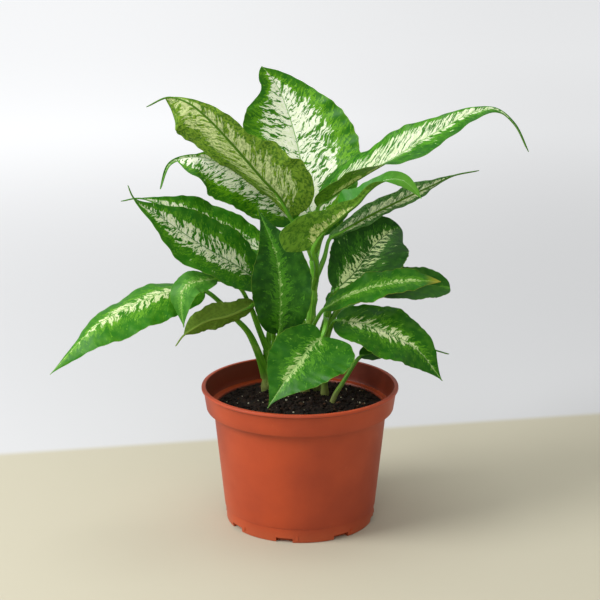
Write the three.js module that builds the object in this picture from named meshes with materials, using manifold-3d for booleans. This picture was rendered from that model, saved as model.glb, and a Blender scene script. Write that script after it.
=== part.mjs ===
// Potted dieffenbachia: a compact variegated plant in a round nursery pot.
// Millimetres, +Z up. The origin is the centre of the pot's underside, on the surface it stands on.
// The front of the plant faces -Y.
import * as THREE from 'three';
import { mergeVertices } from 'three/addons/utils/BufferGeometryUtils.js';
import Module from 'manifold-3d';

const wasm = await Module();
wasm.setup();

// ---- driving dimensions -------------------------------------------------------------------------

const POT = {
  height: 117,
  lipRadius: 82.5, // outside of the rolled lip
  lipDepth: 2.6,
  bandTopRadius: 80.8, // deep rim band, just below the lip
  bandBottomRadius: 78.5,
  bandBottom: 97.5,
  bodyTopRadius: 72.5, // under the band
  footTopRadius: 64,
  footTop: 12.5,
  footStep: 0.6, // the body stands proud of the foot by this much
  footRadius: 62.5,
  wall: 1.8,
  floor: 5,
  ledge: 99, // the step inside the pot, behind the bottom of the band
  ledgeEdge: 0.3, // slope of its inner edge
  edge: 1, // bevel of the foot, the lip and the ledge
  bandEdge: 0.8,
  segments: 40,
};
const NOTCH = { count: 8, width: 14, height: 4, depth: 5, overshoot: 3, firstAngle: -12 };
const SOIL = { edgeTop: 97.6, crownTop: 104, wallGap: 0.42, rings: [0.75, 0.5, 0.25, 0], segments: 30 };
const FIT = 0.32; // clearance between neighbouring pieces

const BLADE = {
  thickness: 0.9,
  ribRadius: 1.5, // how far the midrib stands out below, at the base
  ribTip: 0.5,
  tail: 1.2, // least half width, over that of the tip
  lobe: 4,
  round: 0.5,
  stations: 11,
  crowding: 0.5, // how much closer the stations stand toward the base and the tip
  perSide: 3,
};
const RIPPLE = { height: 2, count: 3, phase: 0.4, endRise: 6 }; // soft waves along the margins
const LOBE = { reach: 0.35, sweep: 1.5, fill: 1.6 }; // how the rounded base lobes run back
const STALK = {
  sides: 6,
  step: 13,
  leastSteps: 4,
  baseRadius: 2.7,
  tipRadius: 1.7,
  underBlade: 0.05, // share of the midrib that the stalk runs on under
};
const CANE = { sides: 8, nodeSpacing: 16, nodeBulge: 0.35 };

// Main shoots. Each is a row of points from inside the soil to the growing tip, with its radii.
const CANES = [
  {
    name: 'cane_left',
    path: [[-30, 34, 72], [-29, 33, 102], [-28, 32, 123], [-27, 30, 152]],
    radii: [5, 3.4],
  },
  {
    name: 'cane_main',
    path: [[2, 20, 72], [3, 20, 100], [5, 22, 131], [9, 24, 166], [12, 27, 209], [11, 30, 244]],
    radii: [4.8, 3.4],
  },
  {
    name: 'cane_front',
    path: [[22, 17, 72], [21, 15, 103], [20, 10, 135], [18, 5, 166]],
    radii: [3.4, 2.8],
  },
  {
    name: 'cane_right',
    path: [[15, 33, 72], [15, 31, 101], [19, 34, 140], [26, 36, 182]],
    radii: [3.8, 2.8],
  },
];

// One leaf: its stalk and midrib as rows of points, base first, and the direction that its upper
// face looks, at stations evenly spaced from base to tip. Each side of the blade has a half width,
// the place of the widest point along the midrib, how fast it narrows to the tip, and how steeply it
// folds up from the midrib and curls, in degrees, at stations evenly spaced from base to tip. A dent
// in its margin has a place and a spread along the midrib, and takes off a share of the width.
// "left" is the side on the left hand when looking along the midrib with the upper face up. A leaf
// may also have a drip tip (its share of the length), lobes that run back past the stalk, a rounder
// or slimmer base, and a wider tail to its tip.
const LEAVES = [
  {
    name: 'leaf_top',
    stalk: [[11, 30, 236], [11, 43, 237], [12, 56, 238]],
    rib: [[12, 56, 238], [5, 66, 269], [-3, 84, 309], [-16, 98, 347], [-24, 101, 361], [-33, 101, 371]],
    face: [[-0.1, -0.8, 0.6], [0, -0.9, 0.45], [0.2, -0.9, 0.3]],
    left: { half: 48, wide: 0.5, narrow: 0.62, fold: [8, 8], curl: [10, 10], dents: [[0.9, 0.07, 0.4]] },
    right: { half: 54, wide: 0.4, narrow: 1.2, fold: [8, 8], curl: [20, 20] },
  },
  {
    name: 'leaf_upper_left',
    stalk: [[12, 28, 214], [3, 18, 238], [-8, 10, 257]],
    rib: [[-8, 10, 257], [-16, 4, 274], [-30, -2, 291], [-55, -12, 322], [-73, -16, 342], [-88, -16, 354],
      [-104, -12, 358], [-122, -8, 350]],
    face: [[0.3, 0.9, 0.4], [0.1, 0.9, 0.3], [-0.2, 0.9, 0.1]],
    left: {
      half: 33, wide: 0.2, narrow: 1.5, fold: [20, 30], curl: [10, 10],
      dents: [[0.47, 0.11, 0.36], [0.29, 0.05, 0.1]],
    },
    right: { half: 32, wide: 0.62, narrow: 0.22, fold: [35, 5], curl: [10, 10] },
    drip: 0.11,
  },
  {
    name: 'leaf_left_arching',
    stalk: [[11, 29, 222], [3, 35, 240], [-7, 37, 248]],
    rib: [[-7, 37, 248], [-25, 34, 271], [-49, 28, 290], [-76, 20, 304], [-92, 14, 306], [-106, 10, 301],
      [-114, 7, 281]],
    face: [[0.25, -0.75, 0.6], [0.25, -0.75, 0.6], [-0.4, -0.5, 0.75]],
    left: { half: 36, wide: 0.55, narrow: 0.35, fold: [5, 5], curl: [5, 5] },
    right: { half: 24, wide: 0.3, narrow: 2, fold: [40, 40], curl: [10, 10] },
    drip: 0.2,
    tail: 4,
  },
  {
    name: 'leaf_left_broad',
    stalk: [[-27, 30, 146], [-25, 22, 172], [-31, 9, 202]],
    rib: [[-31, 9, 202], [-53, -3, 220], [-84, -18, 243], [-113, -26, 266], [-131, -30, 280],
      [-136, -30, 291]],
    face: [[0.3, -0.6, 0.7], [0.2, -0.6, 0.75]],
    left: { half: 35, wide: 0.5, narrow: 1.35, fold: [10, 10], curl: [10, 10] },
    right: { half: 26, wide: 0.4, narrow: 1.35, fold: [20, 20], curl: [10, 10] },
    drip: 0.06,
  },
  {
    name: 'leaf_left_rear',
    stalk: [[9, 24, 176], [-4, 34, 204], [-21, 38, 219]],
    rib: [[-21, 38, 219], [-59, 38, 235], [-100, 34, 257], [-133, 30, 269], [-149, 28, 267]],
    face: [[0.2, -0.5, 0.85]],
    left: { half: 22, wide: 0.42, narrow: 1.35, fold: [15, 15], curl: [10, 10] },
    right: { half: 21, wide: 0.42, narrow: 1.35, fold: [20, 20], curl: [10, 10] },
    drip: 0.1,
  },
  {
    name: 'leaf_lower_left',
    stalk: [[-30, 33, 113], [-35, 27, 133], [-44, 18, 157], [-53, 10, 170], [-65, 2, 186], [-79, -4, 199]],
    rib: [[-79, -4, 199], [-110, -16, 200], [-131, -24, 194], [-164, -38, 178], [-176, -42, 167],
      [-201, -48, 140]],
    face: [[0, -0.6, 0.8], [-0.2, -0.6, 0.8]],
    left: { half: 26, wide: 0.4, narrow: 1.2, fold: [-5, -5], curl: [-10, -10] },
    right: { half: 30, wide: 0.3, narrow: 1.6, fold: [-28, -28], curl: [-10, -10] },
    stalkRadius: [4.2, 1.9],
  },
  {
    name: 'leaf_small_bent',
    stalk: [[-27, 31, 133], [-35, 22, 158], [-43, 4, 187], [-51, -13, 205], [-67, -27, 214]],
    rib: [[-67, -27, 214], [-77, -33, 215], [-88, -38, 213], [-94, -41, 206], [-95, -43, 196],
      [-93, -43, 178]],
    face: [[-0.2, -0.7, 0.7], [-0.5, -0.8, 0.3]],
    left: { half: 18, wide: 0.45, narrow: 1.35, fold: [15, 15], curl: [10, 10] },
    right: { half: 13, wide: 0.45, narrow: 1.35, fold: [-5, -5], curl: [-10, -10] },
    round: 0.8,
  },
  {
    name: 'leaf_small_olive',
    stalk: [[-27, 32, 121], [-22, 16, 148], [-27, 3, 174], [-38, -4, 187]],
    rib: [[-38, -4, 187], [-59, -15, 180], [-75, -22, 178], [-88, -28, 172], [-95, -30, 167],
      [-101, -32, 159]],
    face: [[0, 0.95, 0.3]],
    left: { half: 13, wide: 0.5, narrow: 0.8, fold: [10, 10], curl: [10, 10] },
    right: { half: 12, wide: 0.5, narrow: 0.9, fold: [10, 10], curl: [10, 10] },
    drip: 0.15,
  },
  {
    name: 'leaf_front_upright',
    stalk: [[-28, 33, 103], [-23, 20, 116], [-23, 3, 139], [-20, -10, 155], [-17, -14, 165]],
    rib: [[-17, -14, 165], [-16, -19, 197], [-19, -18, 231], [-26, -15, 250], [-35, -11, 271]],
    face: [[0, -0.95, 0.3]],
    left: { half: 24, wide: 0.4, narrow: 1.8, fold: [12, 12], curl: [10, 10] },
    right: { half: 27, wide: 0.4, narrow: 1.8, fold: [12, 12], curl: [10, 10] },
  },
  {
    name: 'leaf_front_low',
    stalk: [[18, 6, 158], [21, -4, 174], [21, -17, 173], [18, -24, 165]],
    rib: [[18, -24, 165], [8, -36, 159], [-8, -52, 142], [-26, -61, 116]],
    face: [[0.1, -0.6, 0.8]],
    left: { half: 40, wide: 0.22, narrow: 1.7, fold: [8, 8], curl: [10, 10] },
    right: { half: 26, wide: 0.4, narrow: 1.5, fold: [12, 12], curl: [10, 10] },
    lobe: 12,
    round: 0.55,
  },
  {
    name: 'leaf_lower_right',
    stalk: [[20, 9, 142], [26, 8, 164], [30, 0, 172]],
    rib: [[30, 0, 172], [54, -8, 171], [74, -14, 165], [97, -20, 152], [117, -24, 127]],
    face: [[0, -0.6, 0.8]],
    left: { half: 25, wide: 0.45, narrow: 1.35, fold: [5, 5], curl: [-10, -10] },
    right: { half: 33, wide: 0.45, narrow: 1.35, fold: [12, 12], curl: [10, 10] },
  },
  {
    name: 'leaf_lowest_right',
    rooted: true,
    stalk: [[27, -7, 76], [27, -5, 101], [37, 2, 119], [51, 10, 138]],
    rib: [[51, 10, 138], [72, 14, 141], [106, 16, 143], [126, 16, 138]],
    face: [[0, -0.4, 0.9]],
    left: { half: 14, wide: 0.45, narrow: 1.35, fold: [12, 12], curl: [10, 10] },
    right: { half: 17, wide: 0.55, narrow: 1, fold: [12, 12], curl: [10, 10] },
    drip: 0.14,
  },
  {
    name: 'leaf_right_pointed',
    stalk: [[7, 23, 147], [9, 8, 157], [12, -2, 170], [19, -6, 183]],
    rib: [[19, -6, 183], [37, -10, 195], [63, -16, 206], [93, -20, 211], [114, -20, 210]],
    face: [[0, -0.5, 0.85]],
    left: { half: 15, wide: 0.57, narrow: 0.9, fold: [5, 5], curl: [0, 0] },
    right: { half: 18, wide: 0.5, narrow: 1, fold: [5, 5], curl: [5, 5] },
    round: 0.7,
  },
  {
    name: 'leaf_right_broad',
    stalk: [[25, 36, 174], [29, 29, 188], [30, 20, 193]],
    rib: [[30, 20, 193], [44, 30, 203], [62, 55, 221], [75, 70, 230], [87, 76, 235]],
    face: [[-0.1, -0.8, 0.6]],
    left: { half: 31, wide: 0.5, narrow: 0.6, fold: [15, 15], curl: [10, 10] },
    right: { half: 36, wide: 0.5, narrow: 0.6, fold: [12, 12], curl: [10, 10] },
  },
  {
    name: 'leaf_right_rear',
    stalk: [[22, 35, 156], [41, 37, 180], [59, 30, 190]],
    rib: [[59, 30, 190], [85, 40, 191], [111, 48, 190], [129, 50, 187]],
    face: [[0, -0.5, 0.85]],
    left: { half: 19, wide: 0.5, narrow: 0.42, fold: [12, 12], curl: [10, 10] },
    right: { half: 26, wide: 0.5, narrow: 0.42, fold: [12, 12], curl: [10, 10] },
  },
  {
    name: 'leaf_upper_right_long',
    stalk: [[12, 29, 230], [15, 28, 248], [15, 24, 264]],
    rib: [[15, 24, 264], [33, 19, 278], [53, 13, 292], [73, 7, 305], [93, 0, 319], [112, -4, 331],
      [135, -10, 345], [154, -14, 349], [169, -18, 338], [181, -20, 316]],
    face: [[-0.3, -0.1, 1], [-0.2, -0.3, 0.9], [-0.2, -0.6, 0.8], [0.5, -0.5, 0.8], [0.8, -0.4, 0.4]],
    left: { half: 28, wide: 0.2, narrow: 1.6, fold: [20, 15, 10, 10, 10, 30], curl: [10, 0] },
    right: { half: 24, wide: 0.3, narrow: 1, fold: [50, 40, 20, 5, 0, 20], curl: [5, 0] },
    drip: 0.14,
    tail: 4.2,
  },
  {
    name: 'leaf_centre_bent',
    stalk: [[11, 26, 192], [14, 9, 207], [13, -9, 223], [10, -22, 237]],
    rib: [[10, -22, 237], [14, -24, 247], [20, -28, 255], [28, -32, 262], [37, -35, 270], [46, -38, 278],
      [53, -40, 287], [61, -41, 294], [71, -42, 298], [80, -42, 297], [88, -43, 291], [95, -44, 283]],
    face: [[-0.3, 0.9, 0.2], [-0.4, 0.75, 0.5], [-0.3, 0.25, 1], [-0.3, 0, 1], [0.1, -0.7, 0.7],
      [0.3, -0.8, 0.5]],
    left: {
      half: 18, wide: 0.28, narrow: 0.9, fold: [20, 35, 60, 50, 10, 5], curl: [10, 10],
      dents: [[0.68, 0.14, 0.5]],
    },
    right: {
      half: 33, wide: 0.12, narrow: 1.1, fold: [5, 15, 60, 60, 10, 5], curl: [5, 5],
      dents: [[0.3, 0.12, 0.4], [0.55, 0.25, 0.8]],
    },
    lobe: 12,
  },
  {
    name: 'leaf_right_narrow',
    stalk: [[11, 26, 196], [20, 32, 216], [25, 36, 234]],
    rib: [[25, 36, 234], [51, 42, 248], [82, 52, 262], [111, 60, 274], [130, 64, 282], [153, 68, 286]],
    face: [[-0.3, 0.9, 0.3]],
    left: { half: 10, wide: 0.45, narrow: 1.35, fold: [10, 10], curl: [10, 10] },
    right: { half: 10, wide: 0.45, narrow: 1.35, fold: [10, 10], curl: [10, 10] },
    drip: 0.12,
  },
  {
    name: 'leaf_rear_top',
    stalk: [[12, 28, 213], [15, 45, 221], [18, 62, 230]],
    rib: [[18, 62, 230], [20, 90, 260], [14, 118, 284], [4, 144, 294], [-4, 166, 286]],
    face: [[-0.1, -0.6, 0.8], [0, -0.2, 1]],
    left: { half: 30, wide: 0.42, narrow: 1.3, fold: [15, 15], curl: [10, 10] },
    right: { half: 32, wide: 0.42, narrow: 1.3, fold: [15, 15], curl: [10, 10] },
  },
  {
    name: 'leaf_rear_left',
    stalk: [[7, 23, 152], [-6, 42, 176], [-20, 58, 194]],
    rib: [[-20, 58, 194], [-42, 78, 206], [-66, 98, 210], [-92, 114, 204]],
    face: [[0.1, 0, 1]],
    left: { half: 26, wide: 0.42, narrow: 1.3, fold: [12, 12], curl: [10, 10] },
    right: { half: 27, wide: 0.42, narrow: 1.3, fold: [12, 12], curl: [10, 10] },
  },
  {
    name: 'leaf_rear_low',
    stalk: [[5, 21, 118], [0, 40, 140], [-6, 56, 156]],
    rib: [[-6, 56, 156], [-8, 82, 166], [-14, 108, 164], [-22, 132, 148]],
    face: [[0, 0.2, 1], [0, 0.5, 0.85]],
    left: { half: 25, wide: 0.42, narrow: 1.3, fold: [12, 12], curl: [10, 10] },
    right: { half: 25, wide: 0.42, narrow: 1.3, fold: [12, 12], curl: [10, 10] },
  },
  {
    name: 'leaf_rear_right',
    stalk: [[17, 32, 124], [24, 50, 146], [32, 62, 162]],
    rib: [[32, 62, 162], [50, 84, 174], [68, 106, 176], [86, 126, 166]],
    face: [[-0.1, 0, 1]],
    left: { half: 25, wide: 0.42, narrow: 1.3, fold: [12, 12], curl: [10, 10] },
    right: { half: 26, wide: 0.42, narrow: 1.3, fold: [12, 12], curl: [10, 10] },
  },
];

// ---- small geometry helpers ---------------------------------------------------------------------

const radians = THREE.MathUtils.degToRad;
const mix = THREE.MathUtils.lerp;
const vectors = (rows) => rows.map((row) => new THREE.Vector3(...row));
const curveThrough = (rows) => new THREE.CatmullRomCurve3(vectors(rows), false, 'centripetal');

// A closed mesh from vertices and quads, each quad split along its first corner's diagonal.
function meshFromQuads(vertices, quads, triangles = []) {
  const index = [...triangles.flat()];
  for (const [a, b, c, d] of quads) {
    index.push(a, b, c, a, c, d);
  }
  const geometry = new THREE.BufferGeometry();
  const places = vertices.flatMap((vertex) => vertex.toArray());
  geometry.setAttribute('position', new THREE.Float32BufferAttribute(places, 3));
  geometry.setIndex(index);
  return geometry;
}

function toSolid(geometry) {
  const bare = geometry.clone();
  bare.deleteAttribute('normal');
  bare.deleteAttribute('uv');
  const merged = mergeVertices(bare, 1e-4);
  const vertProperties = Float32Array.from(merged.attributes.position.array);
  const triVerts = Uint32Array.from(merged.index.array);
  return new wasm.Manifold(new wasm.Mesh({ numProp: 3, vertProperties, triVerts }));
}

function toGeometry(solid) {
  const mesh = solid.getMesh();
  const geometry = new THREE.BufferGeometry();
  geometry.setAttribute('position', new THREE.BufferAttribute(Float32Array.from(mesh.vertProperties), 3));
  geometry.setIndex(new THREE.BufferAttribute(Uint32Array.from(mesh.triVerts), 1));
  geometry.computeVertexNormals();
  return geometry;
}

// A round bar along a row of points, widened and lengthened all round by "grow". Its own radius is a
// function of the distance along it, 0 to 1.
function bar(rows, { sides, steps, radiusAt, grow = 0 }) {
  const [first, second] = vectors(rows);
  const [last2, last1] = vectors(rows.slice(-2));
  const start = first.clone().add(first.clone().sub(second).setLength(grow));
  const end = last1.clone().add(last1.clone().sub(last2).setLength(grow));
  const curve = curveThrough([start.toArray(), ...rows.slice(1, -1), end.toArray()]);
  const frames = curve.computeFrenetFrames(steps, false);
  const vertices = [];
  for (let i = 0; i <= steps; i += 1) {
    const centre = curve.getPointAt(i / steps);
    const radius = radiusAt(i / steps) + grow;
    for (let j = 0; j < sides; j += 1) {
      const angle = (2 * Math.PI * j) / sides;
      const out = frames.normals[i].clone().multiplyScalar(Math.cos(angle) * radius);
      out.addScaledVector(frames.binormals[i], Math.sin(angle) * radius);
      vertices.push(centre.clone().add(out));
    }
  }
  const quads = [];
  for (let i = 0; i < steps; i += 1) {
    for (let j = 0; j < sides; j += 1) {
      const k = (j + 1) % sides;
      quads.push([i * sides + j, i * sides + k, (i + 1) * sides + k, (i + 1) * sides + j]);
    }
  }
  const caps = [];
  const far = steps * sides;
  for (let j = 1; j < sides - 1; j += 1) {
    caps.push([0, j + 1, j], [far, far + j, far + j + 1]);
  }
  return meshFromQuads(vertices, quads, caps);
}

// ---- pot and soil -------------------------------------------------------------------------------

// Radius of the pot's inner wall at a height below the ledge.
function innerRadius(z) {
  const outer = mix(POT.footTopRadius, POT.bodyTopRadius, (z - POT.footTop) / (POT.bandBottom - POT.footTop));
  return outer - POT.wall;
}

function makePot() {
  const lipBottom = POT.height - POT.lipDepth;
  const profile = [
    [0, 0],
    [POT.footRadius - POT.edge, 0],
    [POT.footRadius, POT.edge],
    [POT.footTopRadius - POT.footStep, POT.footTop],
    [POT.footTopRadius, POT.footTop + POT.footStep],
    [POT.bodyTopRadius, POT.bandBottom],
    [POT.bandBottomRadius - POT.bandEdge, POT.bandBottom],
    [POT.bandBottomRadius, POT.bandBottom + POT.bandEdge],
    [POT.bandTopRadius, lipBottom - POT.edge],
    [POT.lipRadius, lipBottom],
    [POT.lipRadius, POT.height - POT.edge],
    [POT.lipRadius - POT.edge, POT.height],
    [POT.bandTopRadius - POT.wall, POT.height],
    [POT.bandBottomRadius - POT.wall, POT.ledge + POT.edge],
    [innerRadius(POT.ledge) + POT.ledgeEdge, POT.ledge],
    [innerRadius(POT.ledge - POT.edge), POT.ledge - POT.edge],
    [innerRadius(POT.floor), POT.floor],
    [0, POT.floor],
  ];
  const points = profile.map(([r, z]) => new THREE.Vector2(r, z));
  const shell = new THREE.LatheGeometry(points, POT.segments).rotateX(Math.PI / 2);
  let solid = toSolid(shell);
  for (let i = 0; i < NOTCH.count; i += 1) {
    const angle = radians(NOTCH.firstAngle + (360 / NOTCH.count) * i);
    const reach = NOTCH.depth + NOTCH.overshoot;
    const cutter = new THREE.BoxGeometry(NOTCH.width, reach, 2 * NOTCH.height);
    cutter.translate(0, -(POT.footRadius - NOTCH.depth + reach / 2), 0);
    cutter.rotateZ(angle);
    solid = solid.subtract(toSolid(cutter));
  }
  return toGeometry(solid);
}

function makeSoil(sunk) {
  const profile = [[0, POT.floor + FIT]];
  profile.push([innerRadius(POT.floor) - SOIL.wallGap, POT.floor + FIT]);
  profile.push([innerRadius(SOIL.edgeTop) - SOIL.wallGap, SOIL.edgeTop]);
  for (const reach of SOIL.rings) {
    const rise = (1 + Math.cos(Math.PI * reach)) / 2;
    profile.push([reach * innerRadius(SOIL.edgeTop), mix(SOIL.edgeTop, SOIL.crownTop, rise)]);
  }
  const points = profile.map(([r, z]) => new THREE.Vector2(r, z));
  let solid = toSolid(new THREE.LatheGeometry(points, SOIL.segments).rotateX(Math.PI / 2));
  for (const hole of sunk) {
    solid = solid.subtract(hole);
  }
  return toGeometry(solid);
}

// ---- shoots and leaves --------------------------------------------------------------------------

// A shoot, ringed at its leaf nodes. "grow" widens it, for the space that its neighbours leave.
function caneSolid({ path, radii }, grow = 0) {
  const length = curveThrough(path).getLength();
  const steps = Math.round(length / (CANE.nodeSpacing / 2));
  const radiusAt = (u) => {
    const ring = Math.cos((2 * Math.PI * u * length) / CANE.nodeSpacing);
    return mix(radii[0], radii[1], u) + CANE.nodeBulge * ring;
  };
  return toSolid(bar(path, { sides: CANE.sides, steps, radiusAt, grow }));
}

// What a margin's dents leave of the half width at s.
function keptAt(s, dents) {
  const bites = dents.map(([at, spread, depth]) => depth * Math.exp(-(((s - at) / spread) ** 2)));
  return bites.reduce((kept, bite) => kept * (1 - bite), 1);
}

// Value at s in a row of values that are evenly spaced from base to tip.
function valueAt(values, s) {
  const place = s * (values.length - 1);
  const first = Math.min(Math.floor(place), values.length - 2);
  return mix(values[first], values[first + 1], place - first);
}

// Half width of one side of a blade, as a share of its greatest, at s from 0 (base) to 1 (tip).
function widthShare(s, { wide, narrow, dents = [] }, round, drip) {
  const kept = keptAt(s, dents);
  if (s < wide) {
    return kept * (1 - (1 - s / wide) ** 2) ** round;
  }
  const past = Math.min(1, (s - wide) / (1 - wide - drip));
  return kept * Math.cos((Math.PI / 2) * past) ** narrow;
}

// How far a folded and curled side has gone out from the midrib and up from it, at share a of it.
function sideProfile(width, a, fold, curl) {
  const bend = Math.abs(curl) < 1e-3 ? 1e-3 : curl;
  const out = (width * (Math.sin(fold + bend * a) - Math.sin(fold))) / bend;
  const up = (width * (Math.cos(fold) - Math.cos(fold + bend * a))) / bend;
  return { out, up };
}

// Height of the margin's soft waves at s along the blade and share a across one side.
function rippleAt(s, a, phase) {
  const wave = Math.sin(2 * Math.PI * (RIPPLE.count * s + phase));
  return RIPPLE.height * a * a * wave * Math.min(1, RIPPLE.endRise * s * (1 - s));
}

// How far a base lobe runs back past the stalk at s along the blade and share a across one side.
function lobeBack(s, a, lobe) {
  return lobe * a ** LOBE.sweep * Math.max(0, 1 - s / LOBE.reach) ** 2;
}

// Places of the blade's middle surface: one row of points across it at each station.
function bladeSurface(leaf) {
  const { drip = 0, lobe = BLADE.lobe, round = BLADE.round, tail = BLADE.tail } = leaf;
  const curve = curveThrough(leaf.rib);
  const rows = [];
  const frames = [];
  for (let i = 0; i <= BLADE.stations; i += 1) {
    const even = i / BLADE.stations;
    const s = mix(even, (1 - Math.cos(Math.PI * even)) / 2, BLADE.crowding);
    const centre = curve.getPointAt(s);
    const along = curve.getTangentAt(s);
    const place = s * (leaf.face.length - 1);
    const first = Math.min(Math.floor(place), Math.max(leaf.face.length - 2, 0));
    const second = Math.min(first + 1, leaf.face.length - 1);
    const up = new THREE.Vector3(...leaf.face[first]).normalize();
    up.lerp(new THREE.Vector3(...leaf.face[second]).normalize(), place - first);
    up.addScaledVector(along, -up.dot(along)).normalize();
    const side = new THREE.Vector3().crossVectors(up, along);
    const row = [];
    for (let j = -BLADE.perSide; j <= BLADE.perSide; j += 1) {
      const a = Math.abs(j) / BLADE.perSide;
      const half = j > 0 ? leaf.left : leaf.right;
      const share = widthShare(s, half, round, drip);
      const least = BLADE.ribTip + (s > 0.5 ? tail : BLADE.tail) * Math.sqrt(1 - s);
      const width = Math.max(half.half * share, least);
      const fold = radians(valueAt(half.fold, s));
      const curl = radians(valueAt(half.curl, s));
      const { out, up: lift } = sideProfile(width, a, fold, curl);
      const ripple = rippleAt(s, a, j > 0 ? 0 : RIPPLE.phase) * share;
      const back = lobeBack(s, a, lobe) * Math.min(1, share * LOBE.fill);
      const point = centre.clone().addScaledVector(side, Math.sign(j) * out);
      row.push(point.addScaledVector(up, lift + ripple).addScaledVector(along, -back));
    }
    rows.push(row);
    frames.push({ s, up });
  }
  return { rows, frames };
}

// Direction square to a surface of rows, at one of its points.
function surfaceNormal(rows, i, j, up) {
  const before = rows[Math.max(i - 1, 0)][j];
  const after = rows[Math.min(i + 1, rows.length - 1)][j];
  const right = rows[i][Math.max(j - 1, 0)];
  const left = rows[i][Math.min(j + 1, rows[i].length - 1)];
  const across = new THREE.Vector3().subVectors(left, right);
  const normal = across.cross(new THREE.Vector3().subVectors(after, before)).normalize();
  return normal.dot(up) < 0 ? normal.negate() : normal;
}

function bladeGeometry(leaf) {
  const { rows, frames } = bladeSurface(leaf);
  const across = 2 * BLADE.perSide + 1;
  const top = [];
  const bottom = [];
  rows.forEach((row, i) => {
    row.forEach((point, j) => {
      const normal = surfaceNormal(rows, i, j, frames[i].up);
      const middle = j === BLADE.perSide;
      const keel = middle ? mix(BLADE.ribRadius, BLADE.ribTip, frames[i].s) : 0;
      top.push(point.clone().addScaledVector(normal, BLADE.thickness / 2));
      bottom.push(point.clone().addScaledVector(normal, -BLADE.thickness / 2 - keel));
    });
  });
  const under = top.length;
  const quads = [];
  const edge = (a, b) => quads.push([a, b, b + under, a + under]);
  for (let i = 0; i < BLADE.stations; i += 1) {
    for (let j = 0; j < across - 1; j += 1) {
      const [a, b, c, d] = [i, i, i + 1, i + 1].map((r, n) => r * across + j + (n === 1 || n === 2 ? 1 : 0));
      quads.push([d, c, b, a]);
      quads.push([b + under, c + under, d + under, a + under]);
    }
    edge((i + 1) * across, i * across);
    edge(i * across + across - 1, (i + 1) * across + across - 1);
  }
  const tip = BLADE.stations * across;
  for (let j = 0; j < across - 1; j += 1) {
    edge(j, j + 1);
    edge(tip + j + 1, tip + j);
  }
  return meshFromQuads([...top, ...bottom], quads);
}

function stalkSolid(leaf, grow = 0) {
  const [thick, thin] = leaf.stalkRadius ?? [STALK.baseRadius, STALK.tipRadius];
  const path = [...leaf.stalk, curveThrough(leaf.rib).getPointAt(STALK.underBlade).toArray()];
  const steps = Math.max(STALK.leastSteps, Math.round(curveThrough(path).getLength() / STALK.step));
  const radiusAt = (u) => mix(thick, thin, Math.sqrt(u));
  return toSolid(bar(path, { sides: STALK.sides, steps, radiusAt, grow }));
}

// A leaf ends at the surfaces of the pieces that it grows from or passes, and stays one body.
function leafSolid(leaf, keepOut) {
  let solid = stalkSolid(leaf).add(toSolid(bladeGeometry(leaf)));
  for (const neighbour of keepOut) {
    solid = solid.subtract(neighbour);
  }
  const bodies = solid.decompose().sort((a, b) => b.volume() - a.volume());
  return bodies[0];
}

// ---- the plant ----------------------------------------------------------------------------------

const TERRACOTTA = new THREE.MeshStandardMaterial({ color: 0xb9603c, roughness: 0.55, metalness: 0 });
const POTTING_MIX = new THREE.MeshStandardMaterial({ color: 0x2a1d16, roughness: 1, metalness: 0 });
const SHOOT_GREEN = new THREE.MeshStandardMaterial({ color: 0x5d8a35, roughness: 0.5, metalness: 0 });
const LEAF_GREEN = new THREE.MeshStandardMaterial({ color: 0x3f7f3a, roughness: 0.45, metalness: 0 });

const plant = new THREE.Group();

function place(name, geometry, material) {
  const mesh = new THREE.Mesh(geometry, material);
  mesh.name = name;
  plant.add(mesh);
}

const widened = CANES.map((cane) => caneSolid(cane, FIT));
place('pot', makePot(), TERRACOTTA);
CANES.forEach((cane) => place(cane.name, toGeometry(caneSolid(cane)), SHOOT_GREEN));
LEAVES.forEach((leaf) => place(leaf.name, toGeometry(leafSolid(leaf, widened)), LEAF_GREEN));
const rooted = LEAVES.filter((leaf) => leaf.rooted).map((leaf) => stalkSolid(leaf, FIT));
place('soil', makeSoil([...widened, ...rooted]), POTTING_MIX);

export default plant;
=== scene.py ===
"""A potted dieffenbachia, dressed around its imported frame.

The sizes in the classes and tables below are millimetres, but metres in the finishes and in the
studio. +Z is up, the origin is under the middle of the pot, and the front of the plant faces -Y.
Shares run from 0 to 1.
"""

import logging
import math
import random
from dataclasses import dataclass, replace
from enum import Enum

import bmesh
import bpy
import numpy as np
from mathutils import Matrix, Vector, noise

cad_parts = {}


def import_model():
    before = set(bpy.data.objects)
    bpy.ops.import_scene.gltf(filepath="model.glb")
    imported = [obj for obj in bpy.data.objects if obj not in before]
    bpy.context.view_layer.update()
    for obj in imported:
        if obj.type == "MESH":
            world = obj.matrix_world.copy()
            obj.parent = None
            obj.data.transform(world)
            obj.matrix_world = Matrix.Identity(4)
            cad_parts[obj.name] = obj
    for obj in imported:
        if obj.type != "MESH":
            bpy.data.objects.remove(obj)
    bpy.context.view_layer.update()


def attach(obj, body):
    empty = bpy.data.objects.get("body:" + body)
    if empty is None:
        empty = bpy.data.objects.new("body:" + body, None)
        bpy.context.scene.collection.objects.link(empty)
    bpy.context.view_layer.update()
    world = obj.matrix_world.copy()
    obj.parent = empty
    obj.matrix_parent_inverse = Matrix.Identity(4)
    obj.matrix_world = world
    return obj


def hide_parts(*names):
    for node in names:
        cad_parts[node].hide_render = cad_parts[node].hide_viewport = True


LOG = logging.getLogger("dieffenbachia")
MM = 0.001
DECIMETRE = 100.0  # in millimetres; the "Reach" maps count in these

Point = tuple[float, float, float]
Colour = tuple[float, float, float]
Span = tuple[float, float]
Faces = list[tuple[int, ...]]


# ---- small helpers ------------------------------------------------------------------------------


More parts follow.
